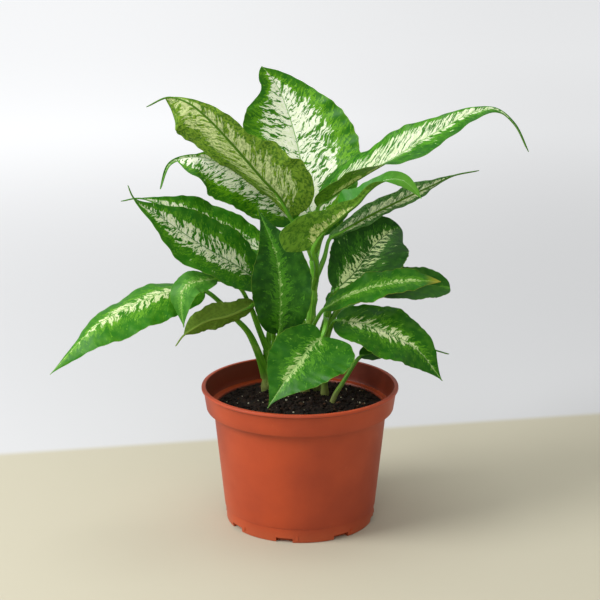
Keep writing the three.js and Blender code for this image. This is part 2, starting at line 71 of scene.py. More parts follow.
def tint(code: str) -> Colour:
    """Turn a screen colour into the linear colour that shaders read, by the sRGB curve.

    Args:
        code: Six hexadecimal digits, two for each channel.

    Returns:
        The red, green and blue shares of the linear colour.
    """
    shares = [int(code[i : i + 2], 16) / 255 for i in (0, 2, 4)]
    return tuple(c / 12.92 if c <= 0.04045 else ((c + 0.055) / 1.055) ** 2.4 for c in shares)


def lerp(a: float, b: float, share: float) -> float:
    """Return the value at a share of the way from a to b."""
    return a + (b - a) * share


def smooth(value: np.ndarray, low: float, high: float) -> np.ndarray:
    """Ease a value from 0 at low to 1 at high.

    Args:
        value: The numbers to ease.
        low: Where the result is 0.
        high: Where the result is 1.

    Returns:
        The eased numbers.
    """
    share = np.clip((value - low) / (high - low), 0, 1)
    return share * share * (3 - 2 * share)


def fade(value: np.ndarray, low: float, high: float) -> np.ndarray:
    """Ease a value from 1 at low to 0 at high."""
    return 1 - smooth(value, low, high)


def bell(offset: np.ndarray, spread: float | np.ndarray) -> np.ndarray:
    """Return a hump that is 1 at no offset and dies away over the spread."""
    return np.exp(-((offset / spread) ** 2))


def turn_about_z(angle: float) -> np.ndarray:
    """Return the matrix that turns points about the upright axis by an angle in radians."""
    cosine, sine = math.cos(angle), math.sin(angle)
    return np.array([[cosine, -sine, 0], [sine, cosine, 0], [0, 0, 1]])


def unit(vectors: np.ndarray) -> np.ndarray:
    """Scale each vector in the last axis to length 1."""
    return vectors / np.maximum(np.linalg.norm(vectors, axis=-1, keepdims=True), 1e-12)


class Curve:
    """A smooth open curve through a row of points, read by the share of its length."""

    FINE = 48  # samples between two points
    NEAR = 0.004  # the share of the length, to either side, that a direction is taken over

    def __init__(self, rows: list[Point]) -> None:
        """Sample a centripetal Catmull-Rom curve.

        Args:
            rows: The points that it passes through.
        """
        points = np.asarray(rows, float)
        ends = [2 * points[0] - points[1], *points, 2 * points[-1] - points[-2]]
        share = np.linspace(0, 1, self.FINE, endpoint=False)[:, None]
        runs = []
        for p0, p1, p2, p3 in zip(ends, ends[1:], ends[2:], ends[3:]):
            d0, d1, d2 = (np.linalg.norm(b - a) ** 0.5 for a, b in ((p0, p1), (p1, p2), (p2, p3)))
            t1 = ((p1 - p0) / d0 - (p2 - p0) / (d0 + d1) + (p2 - p1) / d1) * d1
            t2 = ((p2 - p1) / d1 - (p3 - p1) / (d1 + d2) + (p3 - p2) / d2) * d1
            cubic = 2 * p1 - 2 * p2 + t1 + t2
            square = 3 * p2 - 3 * p1 - 2 * t1 - t2
            runs.append(p1 + t1 * share + square * share**2 + cubic * share**3)
        self.samples = np.vstack([*runs, points[-1:]])
        steps = np.linalg.norm(np.diff(self.samples, axis=0), axis=1)
        self.reach = np.concatenate([[0], np.cumsum(steps)])
        self.length = float(self.reach[-1])

    def at(self, shares: np.ndarray) -> np.ndarray:
        """Return the points at shares of the curve's length."""
        where = np.asarray(shares, float) * self.length
        return np.stack([np.interp(where, self.reach, self.samples[:, k]) for k in range(3)], -1)

    def along(self, shares: np.ndarray) -> np.ndarray:
        """Return the unit directions at shares of the curve's length."""
        shares = np.asarray(shares, float)
        ahead = self.at(np.minimum(shares + self.NEAR, 1))
        return unit(ahead - self.at(np.maximum(shares - self.NEAR, 0)))


class Wave:
    """A smooth one-dimensional wander between about -1 and 1, from a few seeded sines."""

    def __init__(self, seed: int, counts: Point) -> None:
        """Draw a phase for each sine.

        Args:
            seed: The seed of the phases.
            counts: How many times each sine repeats from 0 to 1.
        """
        draw = random.Random(seed)
        self.terms = [(count, draw.uniform(0, math.tau)) for count in counts]

    def __call__(self, share: np.ndarray) -> np.ndarray:
        """Return the wander at each share."""
        total = sum(np.sin(math.tau * count * share + phase) for count, phase in self.terms)
        return total / len(self.terms) ** 0.5


# ---- mesh building ------------------------------------------------------------------------------


class Mould:
    """Collects grids and loose solids, in millimetres, and casts them as one mesh object."""

    def __init__(self) -> None:
        """Start with nothing."""
        self.points: list[np.ndarray] = []
        self.faces: Faces = []
        self.slots: list[int] = []
        self.maps: dict[str, list[np.ndarray]] = {"Blade": [], "Reach": []}
        self.count = 0

    def add(
        self,
        points: np.ndarray,
        faces: Faces,
        slot: int = 0,
        blade: np.ndarray | None = None,
        reach: np.ndarray | None = None,
    ) -> int:
        """Add vertices and the faces between them.

        Args:
            points: One row for each vertex.
            faces: Vertex numbers, counted from this call's first vertex.
            slot: The material slot of the faces.
            blade: Two shares for each vertex: along the piece, and across it.
            reach: Two distances for each vertex, along and across, in decimetres.

        Returns:
            The number of the first vertex added.
        """
        points = np.asarray(points, float).reshape(-1, 3)
        first = self.count
        self.points.append(points)
        self.faces.extend(tuple(first + i for i in face) for face in faces)
        self.slots.extend([slot] * len(faces))
        empty = np.zeros((len(points), 2))
        self.maps["Blade"].append(empty if blade is None else blade.reshape(-1, 2))
        self.maps["Reach"].append(empty if reach is None else reach.reshape(-1, 2))
        self.count += len(points)
        return first

    def join(self, faces: Faces, slot: int = 0) -> None:
        """Add faces between vertices that are already there, by their numbers in the whole."""
        self.faces.extend(faces)
        self.slots.extend([slot] * len(faces))

    def cast(
        self, name: str, materials: list[bpy.types.Material], crease: float
    ) -> bpy.types.Object:
        """Make the object.

        Args:
            name: The object's name.
            materials: Its materials, in the order of the slots.
            crease: Edges that turn more than this many degrees stay sharp.

        Returns:
            The new object, linked to the scene.
        """
        mesh = bpy.data.meshes.new(name)
        mesh.from_pydata((np.vstack(self.points) * MM).tolist(), [], self.faces)
        mesh.validate()
        mesh.polygons.foreach_set("material_index", self.slots)
        corner = np.empty(len(mesh.loops), dtype=np.int32)
        mesh.loops.foreach_get("vertex_index", corner)
        for title, rows in self.maps.items():
            layer = mesh.uv_layers.new(name=title)
            layer.data.foreach_set("uv", np.vstack(rows)[corner].ravel())
        return place(name, mesh, materials, crease)


def place(
    name: str, mesh: bpy.types.Mesh, materials: list[bpy.types.Material], crease: float
) -> bpy.types.Object:
    """Link a mesh to the scene as an object with smooth faces and sharp creases.

    Args:
        name: The object's name.
        mesh: Its mesh.
        materials: Its materials, in the order of the slots.
        crease: Edges that turn more than this many degrees stay sharp.

    Returns:
        The object.
    """
    for material in materials:
        mesh.materials.append(material)
    mesh.polygons.foreach_set("use_smooth", [True] * len(mesh.polygons))
    mesh.set_sharp_from_angle(angle=math.radians(crease))
    mesh.update()
    thing = bpy.data.objects.new(name, mesh)
    bpy.context.scene.collection.objects.link(thing)
    return thing


def grid_faces(rows: int, columns: int, wrap: bool = False, flip: bool = False) -> Faces:
    """Number the quads of a grid of vertices stored row by row.

    Args:
        rows: How many rows of vertices.
        columns: How many vertices in each row.
        wrap: Whether the last column joins the first.
        flip: Whether the faces look the other way.

    Returns:
        Four vertex numbers for each quad.
    """
    faces = []
    for i in range(rows - 1):
        for j in range(columns if wrap else columns - 1):
            k = (j + 1) % columns
            here, ahead = i * columns, (i + 1) * columns
            quad = (here + j, here + k, ahead + k, ahead + j)
            faces.append(quad[::-1] if flip else quad)
    return faces


def tube(
    mould: Mould,
    centres: np.ndarray,
    across: np.ndarray,
    radii: np.ndarray,
    slot: int,
    length: float,
) -> None:
    """Add a closed bar round a row of centres.

    Args:
        mould: Where it is added.
        centres: One point for each ring.
        across: The direction of each ring's first side.
        radii: One row of radii for each ring, one radius for each side, turning from across.
        slot: The material slot.
        length: The bar's length, for its map.
    """
    rings, sides = radii.shape
    along = unit(np.gradient(centres, axis=0))
    first = unit(across - along * (across * along).sum(-1, keepdims=True))
    second = np.cross(along, first)
    angle = (np.arange(sides) * math.tau / sides)[None, :, None]
    spoke = first[:, None] * np.cos(angle) + second[:, None] * np.sin(angle)
    points = centres[:, None] + spoke * radii[..., None]
    share = np.linspace(0, 1, rings)[:, None]
    turn = np.abs(np.arange(sides)[None, :] / sides * 2 - 1)
    blade = np.stack(np.broadcast_arrays(share, turn), -1)
    spans = np.broadcast_arrays(share * length, turn * radii.mean() * math.pi)
    reach = np.stack(spans, -1) / DECIMETRE
    start = mould.add(points, grid_faces(rings, sides, wrap=True), slot, blade, reach)
    last = start + (rings - 1) * sides
    mould.join([tuple(start + j for j in reversed(range(sides)))], slot)
    mould.join([tuple(last + j for j in range(sides))], slot)


# ---- finishes -----------------------------------------------------------------------------------

Socket = bpy.types.NodeSocket


class Painter:
    """Builds one material's nodes."""

    def __init__(self, name: str) -> None:
        """Start an empty material.

        Args:
            name: The material's name.
        """
        self.material = bpy.data.materials.new(name)
        self.material.use_nodes = True
        self.tree = self.material.node_tree
        self.tree.nodes.clear()

    def node(self, kind: str, feeds: dict | None = None, **settings: object) -> bpy.types.Node:
        """Add a node.

        Args:
            kind: The node's type.
            feeds: What goes into its inputs, by name or number: a socket or a value.
            **settings: The node's own options.

        Returns:
            The node.
        """
        made = self.tree.nodes.new(kind)
        for key, value in settings.items():
            setattr(made, key, value)
        for key, value in (feeds or {}).items():
            if isinstance(value, Socket):
                self.tree.links.new(value, made.inputs[key])
            elif isinstance(value, tuple) and len(value) == 3 and made.inputs[key].type == "RGBA":
                made.inputs[key].default_value = (*value, 1)
            else:
                made.inputs[key].default_value = value
        return made

    def maths(self, how: str, *values: Socket | float) -> Socket:
        """Combine numbers in the named way of the Math node.

        Args:
            how: The operation's name.
            *values: Sockets or numbers.

        Returns:
            The result's socket.
        """
        return self.node("ShaderNodeMath", dict(enumerate(values)), operation=how).outputs[0]

    def times(self, *values: Socket | float) -> Socket:
        """Multiply two numbers."""
        return self.maths("MULTIPLY", *values)

    def minus(self, *values: Socket | float) -> Socket:
        """Take the second number from the first."""
        return self.maths("SUBTRACT", *values)

    def times_plus(self, *values: Socket | float) -> Socket:
        """Multiply two numbers and add a third."""
        return self.maths("MULTIPLY_ADD", *values)

    def ease(
        self,
        value: Socket,
        low: float | Socket,
        high: float | Socket,
        start: float = 0,
        end: float = 1,
    ) -> Socket:
        """Ease a value from start at low to end at high.

        Args:
            value: The number to ease.
            low: Where the easing begins.
            high: Where it ends.
            start: The result below low.
            end: The result above high.

        Returns:
            The eased number's socket.
        """
        feeds = {0: value, 1: low, 2: high, 3: start, 4: end}
        return self.node("ShaderNodeMapRange", feeds, interpolation_type="SMOOTHSTEP").outputs[0]

    def blend(self, share: Socket | float, under: Socket | Colour, over: Socket | Colour) -> Socket:
        """Mix two colours.

        Args:
            share: How much of the second there is.
            under: The first colour.
            over: The second colour.

        Returns:
            The mixed colour's socket.
        """
        made = self.node("ShaderNodeMix", data_type="RGBA")
        for name, value in (("Factor_Float", share), ("A_Color", under), ("B_Color", over)):
            pin = next(s for s in made.inputs if s.identifier == name)
            if isinstance(value, Socket):
                self.tree.links.new(value, pin)
            else:
                pin.default_value = value if name == "Factor_Float" else (*value, 1)
        return next(s for s in made.outputs if s.identifier == "Result_Color")

    def grain(
        self,
        spot: Socket,
        scale: float,
        detail: float = 3,
        rough: float = 0.5,
        warp: float = 0,
    ) -> Socket:
        """Add soft noise.

        Args:
            spot: Where it is read.
            scale: How fine it is.
            detail: How many finer layers it has.
            rough: How strong those are.
            warp: How much it swirls.

        Returns:
            The noise value's socket.
        """
        feeds = {"Vector": spot, "Scale": scale, "Detail": detail}
        feeds |= {"Roughness": rough, "Distortion": warp}
        return self.node("ShaderNodeTexNoise", feeds).outputs[0]

    def where(self, x: Socket | float, y: Socket | float, z: Socket | float) -> Socket:
        """Put three numbers together as a place."""
        return self.node("ShaderNodeCombineXYZ", {0: x, 1: y, 2: z}).outputs[0]

    def map(self, title: str) -> tuple[Socket, Socket]:
        """Return the two numbers of a named map."""
        pair = self.node("ShaderNodeUVMap", uv_map=title).outputs[0]
        parts = self.node("ShaderNodeSeparateXYZ", {0: pair})
        return parts.outputs[0], parts.outputs[1]

    def own_place(self) -> Socket:
        """Return the place on the piece, in metres."""
        return self.node("ShaderNodeTexCoord").outputs["Object"]

    def bump(self, height: Socket, depth: float, strength: float = 1) -> Socket:
        """Turn a height into a surface direction.

        Args:
            height: The height, from 0 to 1.
            depth: What a height of 1 stands for, in metres.
            strength: How strongly it shows.

        Returns:
            The direction's socket.
        """
        feeds = {"Height": height, "Distance": depth, "Strength": strength}
        return self.node("ShaderNodeBump", feeds).outputs[0]

    def finish(
        self, feeds: dict, glow: Socket | None = None, through: float = 0
    ) -> bpy.types.Material:
        """Add the surface shader and close the material.

        Args:
            feeds: What goes into the surface shader.
            glow: The colour of light that passes through a thin piece, if it lets any through.
            through: The share of light that passes.

        Returns:
            The finished material.
        """
        shader = self.node("ShaderNodeBsdfPrincipled", feeds).outputs[0]
        if glow is not None:
            thin = self.node("ShaderNodeBsdfTranslucent", {"Color": glow}).outputs[0]
            shader = self.node("ShaderNodeMixShader", {0: through, 1: shader, 2: thin}).outputs[0]
        self.node("ShaderNodeOutputMaterial", {"Surface": shader})
        return self.material


class Face(Enum):
    """The two faces of a blade."""

    UPPER = "upper"
    UNDER = "under"


@dataclass(frozen=True)
class VeinGrain:
    """Noise stretched along the side veins, by how fast it changes across them and outwards."""

    across: float
    out: float
    detail: float
    shift: float
    rough: float = 0.6

    def read(self, paint: Painter, vein: Socket, width: Socket, side: Socket) -> Socket:
        """Add the noise.

        Args:
            paint: The material being built.
            vein: Where the side vein through a place leaves the midrib, in decimetres.
            width: How far the place lies from the midrib, in decimetres.
            side: Sets the leaf's noise, and that of each half, apart.

        Returns:
            The noise value's socket.
        """
        shifted = paint.maths("ADD", side, self.shift)
        spot = paint.where(paint.times(vein, self.across), paint.times(width, self.out), shifted)
        return paint.grain(spot, 1.0, self.detail, self.rough)


STREAK = VeinGrain(30.0, 9.0, 3, 0.0)
DASH = VeinGrain(75.0, 26.0, 2, 3.1)
SPECK = VeinGrain(110.0, 60.0, 2, 5.7)


@dataclass(frozen=True)
class LeafFinish:
    """The colours of a leaf, and how its pale heart is drawn.

    The heart is feathered along the side veins, which run on by the slant for each step out. Its
    reach is a share of each half's width, and its lean moves some of it from the right half to the
    left. It widens over the start and narrows over the end, both shares along the midrib. Feather
    and fleck are how much the streaks and the short dashes break it up, solid is how firmly it
    holds inside its edge, and halo is how thickly fresh green flecks lie round it.
    """

    HALF_SHIFT = 7.3  # keeps the left half's noise away from the right half's
    VEIN_BEND = 0.35  # how much more the side veins slant for each decimetre out
    WANDER = 0.12  # how far they stray, in decimetres
    VEIN_RATE = 74.0  # radians of the vein wave for each decimetre: a side vein each 8.5 mm
    RIB_HALF = 0.0105  # half the midrib's width at the base, in decimetres
    RIB_TAPER = -0.0075  # what it has gained by the tip
    STIR = 4  # noise keeps near its middle, and this spreads it out
    HEART_OUT = (-0.24, 0.02)  # the gaps to the edge over which the cream dies away outside it
    SPRAY_OUT = (-0.5, -0.1)  # and the fresh flecks

    deep: Colour = tint("236606")
    fresh: Colour = tint("6fae1a")
    heart: Colour = tint("f2f4e2")
    heart_shade: Colour = tint("c3d798")
    rib: Colour = tint("a9c98a")
    reach: float = 0.4
    lean: float = 0.0
    slant: float = 0.55
    feather: float = 1.0
    fleck: float = 0.85
    halo: float = 0.42
    rib_show: float = 0.8
    start: Span = (0.0, 0.16)
    end: Span = (0.72, 0.98)
    solid: float = 0.5
    under: Colour = tint("7ea32c")
    under_dark: Colour = tint("577f1a")
    under_pale: Colour = tint("c9d68c")
    under_rib: Colour = tint("4f7d16")
    tip: Colour = tint("8faf3a")
    tip_show: float = 0.0
    tip_span: Span = (0.6, 0.95)
    upper_rough: Span = (0.36, 0.48)
    upper_relief: float = 0.0002
    upper_gloss: float = 0.18
    under_rough: Span = (0.5, 0.62)
    under_relief: float = 0.0003
    under_gloss: float = 0.2
    light_through: float = 0.28

    def inside(self, paint: Painter, along: Socket, share: Socket, left: Socket) -> Socket:
        """Find how far inside the heart's edge a place lies.

        Args:
            paint: The material being built.
            along: The share along the midrib.
            share: The share of the half's width.
            left: 1 on the left half and 0 on the right.

        Returns:
            The gap to the edge as a share of the half's width, below 0 outside.
        """
        rise = paint.ease(along, *self.start)
        fall = paint.ease(along, *self.end, 1, 0)
        right_reach = self.reach * (1 - self.lean)
        reach = paint.times_plus(left, 2 * self.reach * self.lean, right_reach)
        return paint.minus(paint.times(paint.times(rise, fall), reach), share)

    def heart_fields(self, paint: Painter, seed: float) -> dict[str, Socket]:
        """Draw the heart's shape, which both faces share.

        Args:
            paint: The material being built.
            seed: Sets this leaf's pattern apart from the others'.

        Returns:
            The sockets of each part of the pattern, by name.
        """
        along, over = paint.map("Blade")
        run, off = paint.map("Reach")
        share = paint.maths("ABSOLUTE", paint.times_plus(over, 2.0, -1.0))
        width = paint.maths("ABSOLUTE", off)
        left = paint.maths("GREATER_THAN", over, 0.5)
        side = paint.times_plus(left, self.HALF_SHIFT, seed)
        spot = paint.where(run, off, side)
        slant = paint.times(width, paint.times_plus(width, self.VEIN_BEND, self.slant))
        drift = paint.grain(spot, 7.0, 2)
        vein = paint.times_plus(drift, self.WANDER, paint.minus(run, slant))
        streak, dash, speck = (g.read(paint, vein, width, side) for g in (STREAK, DASH, SPECK))
        broad = paint.grain(spot, 6.0, 2)
        # The noise breaks the heart up, less so by the midrib, and dies away outside its edge.
        gap = self.inside(paint, along, share, left)
        calm = paint.ease(share, 0.0, 0.3, 0.72, 1.0)
        stir = paint.times(paint.minus(streak, 0.5), self.STIR * self.feather)
        stir = paint.times_plus(paint.minus(dash, 0.5), self.STIR * self.fleck, stir)
        held = paint.times_plus(stir, calm, paint.times(gap, self.solid))
        loose = paint.times_plus(paint.minus(broad, 0.5), 0.9, held)
        level = paint.minus(loose, paint.ease(gap, *self.HEART_OUT, 1.1, 0))
        spray = paint.times_plus(paint.minus(speck, 0.5), 3.0, loose)
        spray = paint.minus(spray, paint.ease(gap, *self.SPRAY_OUT, 0.9, 0))
        flecks = paint.ease(spray, -self.halo - 0.12, -self.halo + 0.08)
        half_rib = paint.times_plus(along, self.RIB_TAPER, self.RIB_HALF)
        keel_edge = (paint.times(half_rib, 0.8), paint.times(half_rib, 1.7))
        wave = paint.maths("SINE", paint.times(vein, self.VEIN_RATE))
        return {
            "along": along,
            "share": share,
            "heart": paint.ease(level, -0.01, 0.03),
            "verge": paint.ease(level, -0.12, -0.02),
            "halo": paint.times(flecks, paint.ease(gap, -0.05, 0.2, 1, 0.35)),
            "rib": paint.ease(width, paint.times(half_rib, 0.45), half_rib, 1, 0),
            "keel": paint.ease(width, *keel_edge, 1, 0),
            "veins": paint.times_plus(wave, 0.5, 0.5),
            "mottle": paint.grain(spot, 16.0, 3),
            "blotch": paint.grain(spot, 42.0, 3, 0.6, 0.6),
            "dash": dash,
        }

    def upper_colour(self, paint: Painter, f: dict[str, Socket]) -> Socket:
        """Colour the upper face: mottled green, fresh flecks, the cream heart and the midrib.

        Args:
            paint: The material being built.
            f: The parts of the pattern, by name.

        Returns:
            The colour's socket.
        """
        body = paint.blend(paint.ease(f["mottle"], 0.35, 0.75, 0, 0.4), self.deep, self.fresh)
        body = paint.blend(paint.times(f["veins"], 0.1), body, self.deep)
        colour = paint.blend(paint.times(f["halo"], 0.85), body, self.fresh)
        colour = paint.blend(paint.times(f["verge"], 0.25), colour, self.heart)
        shaded = paint.ease(f["dash"], 0.44, 0.62, 0.0, 0.6)
        cream = paint.blend(shaded, self.heart, self.heart_shade)
        colour = paint.blend(f["heart"], colour, cream)
        return paint.blend(paint.times(f["rib"], self.rib_show), colour, self.rib)

    def under_colour(self, paint: Painter, f: dict[str, Socket]) -> Socket:
        """Colour the underside: blotched olive green, the heart showing through and the keel.

        Args:
            paint: The material being built.
            f: The parts of the pattern, by name.

        Returns:
            The colour's socket.
        """
        body = paint.blend(paint.ease(f["blotch"], 0.42, 0.6), self.under, self.under_dark)
        patch = paint.ease(f["blotch"], 0.44, 0.58, 1.0, 0.3)
        colour = paint.blend(paint.times(f["verge"], 0.35), body, self.under_pale)
        colour = paint.blend(paint.times(f["heart"], patch), colour, self.under_pale)
        return paint.blend(f["keel"], colour, self.under_rib)

    def material(self, face: Face, name: str, seed: float) -> bpy.types.Material:
        """Make the material of one face of one leaf.

        Args:
            face: Which face.
            name: The leaf's name.
            seed: Sets this leaf's pattern apart.

        Returns:
            The material.
        """
        paint = Painter(f"{name}_{face.value}")
        f = self.heart_fields(paint, seed)
        if face is Face.UPPER:
            colour = self.upper_colour(paint, f)
            rough, relief, gloss = self.upper_rough, self.upper_relief, self.upper_gloss
        else:
            colour = self.under_colour(paint, f)
            rough, relief, gloss = self.under_rough, self.under_relief, self.under_gloss
        if self.tip_show:
            end = paint.times(paint.ease(f["along"], *self.tip_span), self.tip_show)
            colour = paint.blend(end, colour, self.tip)
        rim = paint.times(paint.ease(f["share"], 0.975, 1.0), 0.45)
        colour = paint.blend(rim, colour, self.tip)
        height = paint.times_plus(f["dash"], 0.2, f["veins"])
        lit = {"Color": colour, "Saturation": 1.15, "Value": 1.3}
        glow = paint.node("ShaderNodeHueSaturation", lit).outputs[0]
        feeds = {
            "Base Color": colour,
            "Roughness": paint.ease(f["mottle"], 0.3, 0.7, *rough),
            "Specular IOR Level": gloss,
            "Normal": paint.bump(height, relief, 0.5),
        }
        return paint.finish(feeds, glow, self.light_through)


@dataclass(frozen=True)
class StalkFinish:
    """Fresh green stalks and shoots, streaked lengthwise and paler where they leave the soil."""

    green: Colour = tint("6fae2c")
    dark: Colour = tint("4a8a1e")
    pale: Colour = tint("a3c45c")
    earthy: Colour = tint("8d8a55")
    foot: Span = (0.104, 0.122)  # metres up, over which the earthy colour fades

    def material(self, name: str) -> bpy.types.Material:
        """Make the material.

        Args:
            name: Its name.

        Returns:
            The material.
        """
        paint = Painter(name)
        spot = paint.own_place()
        height = paint.node("ShaderNodeSeparateXYZ", {0: spot}).outputs[2]
        _, turn = paint.map("Blade")
        run, _ = paint.map("Reach")
        drawn = paint.where(paint.times(run, 3.0), paint.times(turn, 11.0), 0.0)
        streaks = paint.grain(drawn, 1.0, 4, 0.6)
        patches = paint.grain(spot, 60.0, 3)
        colour = paint.blend(paint.ease(streaks, 0.38, 0.62), self.dark, self.green)
        flecks = paint.times(paint.ease(patches, 0.55, 0.7), 0.5)
        colour = paint.blend(flecks, colour, self.pale)
        colour = paint.blend(paint.ease(height, *self.foot, 0.75, 0), colour, self.earthy)
        feeds = {
            "Base Color": colour,
            "Roughness": paint.ease(patches, 0.3, 0.7, 0.34, 0.46),
            "Specular IOR Level": 0.3,
            "Normal": paint.bump(streaks, 0.0003, 0.5),
        }
        return paint.finish(feeds)


@dataclass(frozen=True)
class PotFinish:
    """Moulded terracotta-coloured plastic with a satin skin, and painted shade on the inner wall."""

    body: Colour = tint("ae4118")
    deep: Colour = tint("973514")
    worn: Colour = tint("c9683c")
    painted_inner_shade: Colour = tint("4f1a0a")
    scuffed: Span = (0.0, 0.014)  # metres up, over which the foot's wear fades

    def material(self, name: str) -> bpy.types.Material:
        """Make the material.

        Args:
            name: Its name.

        Returns:
            The material.
        """
        paint = Painter(name)
        spot = paint.own_place()
        x, y, z = paint.node("ShaderNodeSeparateXYZ", {0: spot}).outputs
        clouds = paint.grain(spot, 14.0, 4, 0.55)
        skin = paint.grain(spot, 900.0, 2, 0.5)
        upright = paint.where(paint.times(x, 60.0), paint.times(y, 60.0), z)
        runs = paint.grain(upright, 1.0, 3, 0.5)
        colour = paint.blend(paint.ease(clouds, 0.3, 0.75), self.body, self.deep)
        dust = paint.times(paint.ease(paint.grain(spot, 120.0, 5, 0.7), 0.6, 0.78), 0.16)
        colour = paint.blend(dust, colour, self.worn)
        scuff = paint.times(paint.ease(z, *self.scuffed, 1, 0), 0.3)
        colour = paint.blend(scuff, colour, self.worn)
        # Painted shade: faces that look in towards the axis, the inner wall, are darkened as if in
        # shadow.
        faced = {0: paint.node("ShaderNodeNewGeometry").outputs["Normal"], 1: spot}
        outward = paint.node("ShaderNodeVectorMath", faced, operation="DOT_PRODUCT").outputs["Value"]
        inside = paint.ease(outward, -0.03, 0.0, 0.65, 0)
        colour = paint.blend(inside, colour, self.painted_inner_shade)
        rough = paint.ease(clouds, 0.3, 0.7, 0.44, 0.56)
        height = paint.times_plus(runs, 1.5, skin)
        feeds = {
            "Base Color": colour,
            "Roughness": rough,
            "Specular IOR Level": 0.45,
            "Subsurface Weight": 0.05,
            "Subsurface Radius": (1.0, 0.3, 0.15),
            "Subsurface Scale": 0.002,
            "Normal": paint.bump(height, 0.00006, 0.6),
        }
        return paint.finish(feeds)


@dataclass(frozen=True)
class CrumbFinish:
    """Potting mix: one kind of crumb in it."""

    dark: Colour
    light: Colour
    rough: float
    scale: float

    def material(self, name: str) -> bpy.types.Material:
        """Make the material.

        Args:
            name: Its name.

        Returns:
            The material.
        """
        paint = Painter(name)
        spot = paint.own_place()
        fine = paint.grain(spot, self.scale, 5, 0.7)
        coarse = paint.grain(spot, self.scale * 0.22, 3, 0.6)
        both = paint.times(paint.ease(fine, 0.35, 0.7), paint.ease(coarse, 0.3, 0.65))
        feeds = {
            "Base Color": paint.blend(both, self.dark, self.light),
            "Roughness": paint.ease(fine, 0.3, 0.7, self.rough, 1.0),
            "Specular IOR Level": 0.25,
            "Normal": paint.bump(fine, 0.0008, 0.9),
        }
        return paint.finish(feeds)


# ---- the pot ------------------------------------------------------------------------------------


